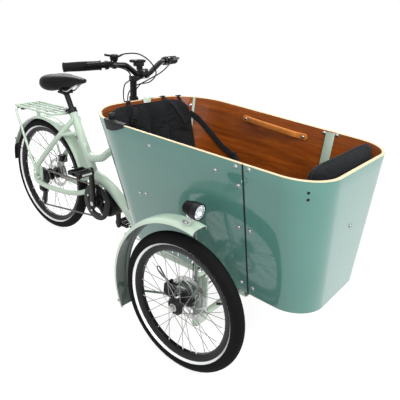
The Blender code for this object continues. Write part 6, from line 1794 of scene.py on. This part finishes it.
def knuckle_parts():
    """Kingpin barrel, stub axle, steering arm, caliper with its hose, and the guard's two stays."""
    barrel = [(0.0062, 0.1515), (0.0148, 0.1515), (0.0156, 0.1525), (0.0156, 0.162), (0.014, 0.1635),
              (0.014, 0.3085), (0.0156, 0.31), (0.0156, 0.3195), (0.0148, 0.3205), (0.0062, 0.3205)]
    mount = [(0.0, 0.235), (0.0, 0.285), (-0.06, 0.282), (-0.075, 0.225), (-0.06, 0.222)]
    pads = [(-0.062, 0.224), (-0.096, 0.224), (-0.108, 0.238), (-0.106, 0.27), (-0.094, 0.282), (-0.062, 0.282)]
    bridge = [(-0.1, 0.238), (-0.109, 0.24), (-0.107, 0.269), (-0.099, 0.269)]
    piston = [(0.0125, 0), (0.0125, 0.0012), (0.011, 0.0024), (0.005, 0.0024), (0.005, 0.001)]
    stub_r, stay_r, arm = 0.0125, 0.0045, STEER_ARM
    for side, name in SIDES:
        y = KINGPIN_Y * side
        out = sideways(side)
        pin, hub = Vector((0, y, FRONT_R)), Vector((0, HALF_TRACK * side, FRONT_R))
        rotor_y = HALF_TRACK * side - ROTOR_Y * side
        body = f"knuckle_{name}"

        def beside(middle_y, near, far):
            """Two places at distances out from y, the lower one first."""
            return sorted((middle_y + near * side, middle_y + far * side))

        stay_y = y + 0.04 * side
        rear_stay = [(-0.006, y, 0.24), (-0.03, stay_y - 0.016 * side, 0.236), (-0.3, stay_y, 0.152)]
        top_stay = [(0.0, y, 0.3), (0.01, stay_y - 0.018 * side, 0.318), (0.012, stay_y + 0.004 * side, 0.56)]
        low, high = sorted((y + 0.007 * side, rotor_y - 0.012 * side))
        shapes = [
            turned(barrel, UP, (0, y, 0), 40, ring=True),
            rod(pin, hub - out * 0.0425, stub_r, 32, 0.0008),
            weld(hub, pin, stub_r, (0, y, 0), UP, 0.014),
            plate(two_circles((0, y), 0.015, (-arm, y), 0.0095), 0.185, 0.1925, "XY", 0.0012),
            plate(mount, *beside(y, 0.006, 0.0135), bevel=0.001),
            block((-0.075, low, 0.226), (-0.06, high, 0.28), 0.0015),
            tube(bent(rear_stay, 0.02), stay_r, 18),
            tube(bent(top_stay, 0.02), stay_r, 18),
        ]
        # The knuckle takes the darker mint, painted shade for its place in the shadow under the box.
        piece(f"knuckle_body_{name}", merged(shapes), body, KNUCKLE_PAINTED_SHADE, [f"knuckle_{name}"], 45)
        fittings = [
            upright(0, y, 0.118, 0.346, 0.0062, 24, 0.0006),
            hexagon((0, y, 0.3402), UP, 0.0105, 0.007),
            hexagon((0, y, 0.1218), -UP, 0.0105, 0.007),
            rod(pin, hub + out * 0.058, 0.007, 24, 0.001),
            hexagon(hub + out * 0.0415, out, 0.0115, 0.0105),
            upright(-arm, y, 0.19, 0.2035, 0.0032),
            hexagon((-arm, y, 0.1848), -UP, 0.0055, 0.0045),
        ]
        piece(f"knuckle_bolts_{name}", merged(fittings), body, STEEL)
        face_y = rotor_y + 0.0105 * side
        port = Vector((-0.1045, rotor_y - 0.01 * side, 0.268))
        caliper = [
            plate(pads, *beside(rotor_y, -0.018, -0.003), bevel=0.0022),
            plate(pads, *beside(rotor_y, 0.003, 0.011), bevel=0.0022),
            plate(bridge, *beside(rotor_y, -0.016, 0.009), bevel=0.001),
            disc(piston, out, (-0.082, face_y, 0.252), 28),
            dome_bolt((-0.068, face_y, 0.23), out, 0.0042, 0.003),
            dome_bolt((-0.068, face_y, 0.276), out, 0.0042, 0.003),
            rod(port, port + Vector((-0.01, 0, 0.008)), 0.0045, 16, 0.0008),
        ]
        piece(f"caliper_{name}", merged(caliper), body, BLACK_METAL)
        run = [port + Vector((-0.009, 0, 0.007)), (-0.132, rotor_y - 0.012 * side, 0.292)]
        run += [(x, y + reach * side, z) for x, reach, z in (
            (-0.165, 0.022, 0.3), (-0.18, 0.016, 0.284), (-0.162, 0.012, 0.262), (-0.118, 0.01, 0.244),
            (-0.074, 0.004, 0.238), (-0.03, -0.004, 0.246), (-0.0165, -0.003, 0.27), (-0.0155, -0.002, 0.3))]
        hose = tube(flowing(run, 0.008), 0.0023, 12)
        piece(f"front_hose_{name}", hose, body, BLACK_PLASTIC)


# Cushions, straps and belt
def power_of(value, exponent):
    return math.copysign(abs(value) ** exponent, value)


def outline_spot(half, turn, share, corner):
    """A point on the round-cornered outline of a pad, drawn in towards its middle by a share."""
    return half[0] * share * power_of(math.cos(turn), corner), half[1] * share * power_of(math.sin(turn), corner)


def blank(half, seams, corner, edge=3.6, fall=0.34, depth=0.45, width=0.01, count=120):
    """The sewn blank of a pad before it is stuffed: flat, round at the edge, and drawn in along its seams."""
    shares = [0.02, 0.12, 0.24, 0.36, 0.48, 0.58, 0.68, 0.76, 0.83, 0.89, 0.93, 0.96, 0.98, 0.993]
    rows = []
    for sign, steps in ((-1, shares), (0, [1.0]), (1, shares[::-1])):
        for share in steps:
            row = []
            for turn in around(count):
                x, y = outline_spot(half, turn, share, corner)
                z = sign * half[2] * (1 - share ** edge) ** fall
                for seam in seams:
                    z *= 1 - depth * math.exp(-((y - seam) / width) ** 2)
                row.append(Vector((x, y, z)))
            rows.append(row)
    return skin(rows)


def worked_out(mesh, set_up, frames=1):
    """The mesh after its modifiers, on an object that is taken away again."""
    obj = linked("pad_blank", mesh)
    set_up(obj)
    for number in range(1, frames + 1):
        bpy.context.scene.frame_set(number)
    bpy.context.view_layer.update()
    result = bpy.data.meshes.new_from_object(obj.evaluated_get(bpy.context.evaluated_depsgraph_get()))
    bpy.data.objects.remove(obj)
    if frames > 1:
        bpy.context.scene.frame_set(1)
    return result


def stuffed(mesh, half, seams, cap, slack, voxel=0.005):
    """The cover swells over its filling between the piping and the seams, which stay where they are sewn."""

    def remesh(obj):
        grid = obj.modifiers.new("grid", "REMESH")
        grid.mode = "VOXEL"
        grid.voxel_size = voxel

    def cover(obj):
        sewn = obj.vertex_groups.new(name="sewn")
        for vertex in obj.data.vertices:
            at_edge = abs(vertex.co.z) < half[2] * 0.16
            at_seam = any(abs(vertex.co.y - seam) < voxel * 0.75 for seam in seams)
            if at_edge or at_seam:
                sewn.add([vertex.index], 1.0, "REPLACE")
        cloth = obj.modifiers.new("cover", "CLOTH")
        settings = cloth.settings
        settings.quality = 6
        settings.mass = 0.25
        settings.tension_stiffness = settings.compression_stiffness = 9
        settings.shear_stiffness = 4
        settings.bending_stiffness = 0.15
        settings.use_pressure = True
        settings.uniform_pressure_force = 4.0
        settings.shrink_min = -slack
        settings.vertex_group_mass = "sewn"
        settings.effector_weights.gravity = 0
        cloth.collision_settings.use_collision = False

    def smooth(obj):
        finer = obj.modifiers.new("finer", "SUBSURF")
        finer.levels = finer.render_levels = 1

    mesh = worked_out(mesh, remesh)
    start = [vertex.co.copy() for vertex in mesh.vertices]
    mesh = worked_out(mesh, cover, 20)
    for vertex, place in zip(mesh.vertices, start):
        move = vertex.co - place
        if move.length > cap:
            vertex.co = place + move * (cap / move.length)
    return worked_out(mesh, smooth)


def level_line(z, by, *stretches):
    """Points of the left wall at one height, in from its outer face."""
    line = []
    for stretch, t in stations(*stretches):
        rim, foot = wall_point(stretch, t, 0, by), wall_point(stretch, t, 1, by)
        line.append(foot.lerp(rim, (z - BOTTOM_Z) / (rim.z - BOTTOM_Z)))
    return line


def rear_face(y, z, by):
    """How far back the rear wall stands at this width and height, in from its outer face."""
    left = level_line(z, by, ("rear corner", 0.02, 1, 36), ("tail", 0, 1, 4))
    if abs(y) > left[0].y:
        return left[0].x
    for a, b in zip(left, left[1:]):
        if b.y <= abs(y) <= a.y:
            return a.x + (b.x - a.x) * (a.y - abs(y)) / max(a.y - b.y, 1e-6)
    return left[-1].x


def inner_y(x, z):
    """Half the space between the side walls' inner faces at this length and height."""
    left = level_line(z, WALL, ("side", 0, 1, 20), ("rear corner", 0, 1, 30))
    for a, b in zip(left, left[1:]):
        if b.x <= x <= a.x:
            return a.y + (b.y - a.y) * (a.x - x) / max(a.x - b.x, 1e-6)
    return left[-1].y


def rear_table(by, low=0.48, high=0.82, levels=16, steps=60, reach=0.26):
    """What rear_face gives, looked up in a table, for meshes with many points."""
    heights = [low + (high - low) * k / levels for k in range(levels + 1)]
    table = [[rear_face(reach * k / steps, z, by) for k in range(steps + 1)] for z in heights]

    def find(y, z):
        spot = min(abs(y) / reach * steps, steps - 0.001)
        level = min(max((z - low) / (high - low) * levels, 0), levels - 0.001)
        k, row = int(spot), int(level)
        near, far = (side[k] + (side[k + 1] - side[k]) * (spot - k) for side in (table[row], table[row + 1]))
        return near + (far - near) * (level - row)

    return find


def piping(half, place_of, corner, radius=0.0028, count=150):
    path = [place_of(Vector((*outline_spot(half, turn, 1.0, corner), 0))) for turn in around(count)]
    return tube(path, radius, 10, ring=True)


def pad(name, replaces, half, seams, place_of, cap, corner=0.3, start=0.82, slack=0.05):
    """A stuffed pad with piping round its edge. Gives the cover back as a surface that straps can lie on."""
    slim = (half[0], half[1], half[2] * start)
    mesh = stuffed(blank(slim, seams, corner), slim, seams, cap, slack)
    for vertex in mesh.vertices:
        vertex.co = place_of(vertex.co)
    surface = BVHTree.FromPolygons([v.co.copy() for v in mesh.vertices], [tuple(p.vertices) for p in mesh.polygons])
    cover = piece(name, mesh, "frame", CLOTH, [replaces], 70)
    piece(f"{name}_piping", piping(half, place_of, corner), "frame", WEBBING, angle=60)
    return surface


def webbing(points, across, half=0.0125, thick=0.0016):
    """A flat strap along a line. across is the direction of its width, or one for each point."""
    section = there_and_back([(-1, 0), (-0.94, 0.5), (-0.5, 0.5), (0, 0.5), (0.5, 0.5), (0.94, 0.5), (1, 0)])[:-1]
    rows = []
    for k, (spot, ahead) in enumerate(zip(points, headings(points))):
        wide = across[k] if isinstance(across, list) else Vector(across)
        wide = (wide - ahead * wide.dot(ahead)).normalized()
        out = ahead.cross(wide)
        rows.append([spot + wide * half * a + out * thick * b for a, b in section])
    return skin(rows)


def buckle(centre, along, out, half=0.0165, reach=0.014):
    """Ladder buckle: two cheeks and three bars that the strap is laced through."""
    along, out = along.normalized(), out.normalized()
    across = along.cross(out).normalized()
    shapes = []
    for side in (1, -1):
        shapes.append(block((-reach, side * half - 0.0022, -0.0028), (reach, side * half + 0.0022, 0.003), 0.0014))
    for x in (-reach + 0.002, 0.0015, reach - 0.002):
        shapes.append(block((x - 0.0024, -half, -0.0022), (x + 0.0024, half, 0.0026), 0.0012))
    return framed(merged(shapes), centre, (along, across, out))


def back_strap(surface, y_top, y_end, z_end, top_pad_z, tail=0.05):
    """From the rear wall's outer face over the rim, down the inner face and over the backrest to a buckle."""
    off, lift, shoulder, steps = 0.0018, 0.0012, 0.006, 16
    rim = rim_z(rear_face(y_top, 0.8, 0))
    outer, inner = rear_face(y_top, rim, 0) - off, rear_face(y_top, rim, WALL) + off
    points = [Vector((x, y_top, rim + rise)) for x, rise in (
        (outer, -tail), (outer, -shoulder), (outer + lift, 0.0014), ((outer + inner) / 2, 0.0022),
        (inner - lift, 0.0014), (inner, -shoulder))]
    over_rim = len(points)
    for k in range(1, steps + 1):
        share = k / steps
        y, z = y_top + (y_end - y_top) * share, rim - shoulder + (z_end - rim + shoulder) * share
        spot = surface.ray_cast(Vector((-0.3, y, z)), -X)[0]
        if spot is None or z > top_pad_z:
            points.append(Vector((rear_face(y, z, WALL) + off, y, z)))
        else:
            points.append(spot + X * lift)
    loose = range(over_rim, len(points) - 1)
    eased = [points[k - 1] * 0.25 + points[k] * 0.5 + points[k + 1] * 0.25 for k in loose]
    for k, spot in zip(loose, eased):
        spot.x = max(spot.x, points[k].x)
    return points[:over_rim] + eased + points[-1:]


def cushions():
    """Two seats and two backrests, each stuffed and piped, and the straps over the rear wall's rim."""
    pad("front_seat_pad", "front_seat_cushion", (0.112, 0.186, 0.024), (-0.062, 0.062),
        lambda p: Vector((0.208, 0, 0.566)) + p, 0.01)
    pad("rear_seat_pad", "rear_seat_cushion", (0.112, 0.166, 0.026), (-0.055, 0.055),
        lambda p: Vector((-0.35, 0, 0.4805)) + p, 0.01)
    pad("front_back_roll", "front_backrest", (0.066, 0.224, 0.034), (),
        lambda p: Vector((0.331 - p.z, p.y, 0.7005 + p.x)), 0.008, corner=0.35, slack=0.004)
    behind = rear_table(WALL + 0.0015)

    def on_wall(p):
        y, z = p.y * (1 + 0.25 * p.x), 0.65 + p.x
        return Vector((behind(y, z) + 0.027 - p.z, y, z))

    surface = pad("rear_back_pad", "rear_backrest", (0.146, 0.222, 0.027), (-0.108, 0, 0.108), on_wall, 0.012)
    straps, buckles = [], []
    for y_top, y_end, z_end, buckled in ((-0.07, -0.098, 0.738, True), (0.138, 0.19, 0.7, False),
                                         (0.216, 0.232, 0.74, True)):
        line = back_strap(surface, y_top, y_end, z_end, 0.792)
        straps.append(webbing(line, (0, 1, 0)))
        if buckled:
            along = line[-1] - line[-3]
            out = along.normalized().cross((0, 1, 0)).normalized()
            out = out if out.x > 0 else -out
            buckles.append(buckle(line[-1] + out * 0.0032, along, out))
    piece("back_straps", merged(straps), "frame", WEBBING, angle=60)
    piece("strap_buckles", merged(buckles), "frame", BLACK_PLASTIC)


def lap_belt():
    """The belt that hangs from the right strap along the left wall, with its buckle, and ends on the bench."""
    marks = [(-0.499, 0.229, 0.738), (-0.455, 0.268, 0.694), (-0.395, 0.269, 0.65), (-0.331, 0.258, 0.612),
             (-0.28, 0.251, 0.59), (-0.24, 0.243, 0.57), (-0.222, 0.232, 0.538), (-0.226, 0.218, 0.5),
             (-0.242, 0.204, 0.464), (-0.262, 0.192, 0.4545), (-0.29, 0.186, 0.454)]
    buckle_mark = Vector(marks[5])
    line = flowing(marks, 0.008)
    across = []
    for spot in line:
        spot.y = min(spot.y, inner_y(spot.x, spot.z) - 0.0055)
        lie = min(1, max(0, (0.5 - spot.z) / 0.045))
        across.append(Vector((0.3, 0.28, 0.9)) * (1 - lie) + Vector((0.25, -0.95, 0.1)) * lie)
    piece("lap_belt", webbing(line, across, 0.012), "frame", WEBBING, angle=60)
    at = min(range(len(line)), key=lambda k: (line[k] - buckle_mark).length)
    along = (line[at + 1] - line[at - 1]).normalized()
    out = along.cross(across[at]).normalized()
    out = out if out.y < 0 else -out
    side = along.cross(out)
    body = merged([block((-0.03, -0.0165, -0.006), (0.022, 0.0165, 0.0066), 0.004, 4),
                   block((0.02, -0.0135, -0.0035), (0.034, 0.0135, 0.004), 0.0018),
                   block((-0.01, -0.007, 0.005), (0.008, 0.007, 0.0078), 0.0012)])
    framed(body, line[at] + out * 0.004, (along, side, out))
    piece("belt_buckle", body, "frame", BLACK_PLASTIC)


# Stage, light and camera: strength of the light that world and floor throw, and of what is seen of them
WORLD_LIGHT, WORLD_SEEN = 0.62, 1.0
FLOOR_LIGHT, FLOOR_SEEN, FLOOR_DIFFUSE = 0.35, 1.19, 0.3


def seen_strength(owner, lighting, seen):
    """One strength for what the camera, mirrors and glass see, and a lower one for the light it throws."""
    path = add(owner, "ShaderNodeLightPath")
    total = path.outputs["Is Camera Ray"]
    for kind in ("Is Transmission Ray", "Is Glossy Ray"):
        total = maths(owner, "MAXIMUM", total, path.outputs[kind])
    return spread(owner, total, lighting, seen)


def stage():
    """A white world, and a white floor that glows and takes a soft shadow."""
    world = bpy.data.worlds.new("studio")
    bpy.context.scene.world = world
    world.use_nodes = True
    background = world.node_tree.nodes["Background"]
    background.inputs["Color"].default_value = (1, 1, 1, 1)
    world.node_tree.links.new(seen_strength(world, WORLD_LIGHT, WORLD_SEEN), background.inputs["Strength"])

    floor = linked("studio_floor", block((-60, -60, -0.02), (60, 60, 0)))
    mat = bpy.data.materials.new("studio_floor")
    mat.use_nodes = True
    mat.node_tree.nodes.clear()
    strength = seen_strength(mat, FLOOR_LIGHT, FLOOR_SEEN)
    glow = add(mat, "ShaderNodeEmission", {"Color": (1, 1, 1, 1), "Strength": strength})
    diffuse = add(mat, "ShaderNodeBsdfDiffuse", {"Color": (0.9, 0.9, 0.9, 1)})
    mix = add(mat, "ShaderNodeMixShader", {0: FLOOR_DIFFUSE, 1: glow.outputs[0], 2: diffuse.outputs[0]})
    add(mat, "ShaderNodeOutputMaterial", {"Surface": mix.outputs[0]})
    floor.data.materials.append(mat)


def lamp(name, place, size, power):
    """An area lamp at a place measured from the front axle, turned to the middle of the tricycle."""
    place, target = X * AXLE_X + Vector(place), Vector((AXLE_X - 0.4, 0, 0.5))
    data = bpy.data.lights.new(name, "AREA")
    data.shape = "RECTANGLE"
    data.size, data.size_y = size
    data.energy = power
    obj = linked(name, data)
    obj.location = place
    obj.rotation_euler = (target - place).to_track_quat("-Z", "Y").to_euler()


def lights():
    lamp("key", (3.2, -0.9, 3.0), (2.2, 1.6), 150)
    lamp("fill", (0.8, -3.6, 2.2), (2.6, 1.8), 40)
    lamp("rim_light", (-3.4, 1.6, 2.8), (2.0, 1.4), 60)
    lamp("top_light", (-0.4, 0, 3.8), (2.8, 2.8), 70)


def camera():
    """The camera stands at the right front, a little above the handlebar."""
    data = bpy.data.cameras.new("camera")
    data.sensor_width = 36
    data.lens = 41.9
    obj = linked("camera", data)
    place = (AXLE_X + 0.858, -1.382, 1.156)
    yaw, pitch, roll = math.radians(128.354), math.radians(-21.86), math.radians(2.418)
    forward = Vector((math.cos(pitch) * math.cos(yaw), math.cos(pitch) * math.sin(yaw), math.sin(pitch)))
    level = forward.cross(UP).normalized()
    raised = level.cross(forward)
    right = level * math.cos(roll) + raised * math.sin(roll)
    top = raised * math.cos(roll) - level * math.sin(roll)
    obj.matrix_world = Matrix.Translation(place) @ Matrix((right, top, -forward)).transposed().to_4x4()
    bpy.context.scene.camera = obj
    bpy.context.scene.view_settings.view_transform = "Standard"


box_walls()
box_bolts()
box_seams()
wall_strap_handles()
bench_boards()
corner_mount()
front_wheels()
rear_wheel_parts()
front_guards()
head_light()
frame_tubes()
stay_tubes()
axle_and_caliper()
cross_beam()
motor_and_battery()
pins, tension = settled_chain()
chain_strand(pins)
crank_parts(pins)
pedals()
sprockets(pins)
derailleur_parts(tension)
seat_parts()
saddle()
rack_tubes()
rear_guard()
tail_lamp()
column_parts()
bar_parts()
grip_parts()
lever_parts()
shifter_parts()
display_parts()
cable_runs()
linkage()
knuckle_parts()
cushions()
lap_belt()
stage()
lights()
camera()
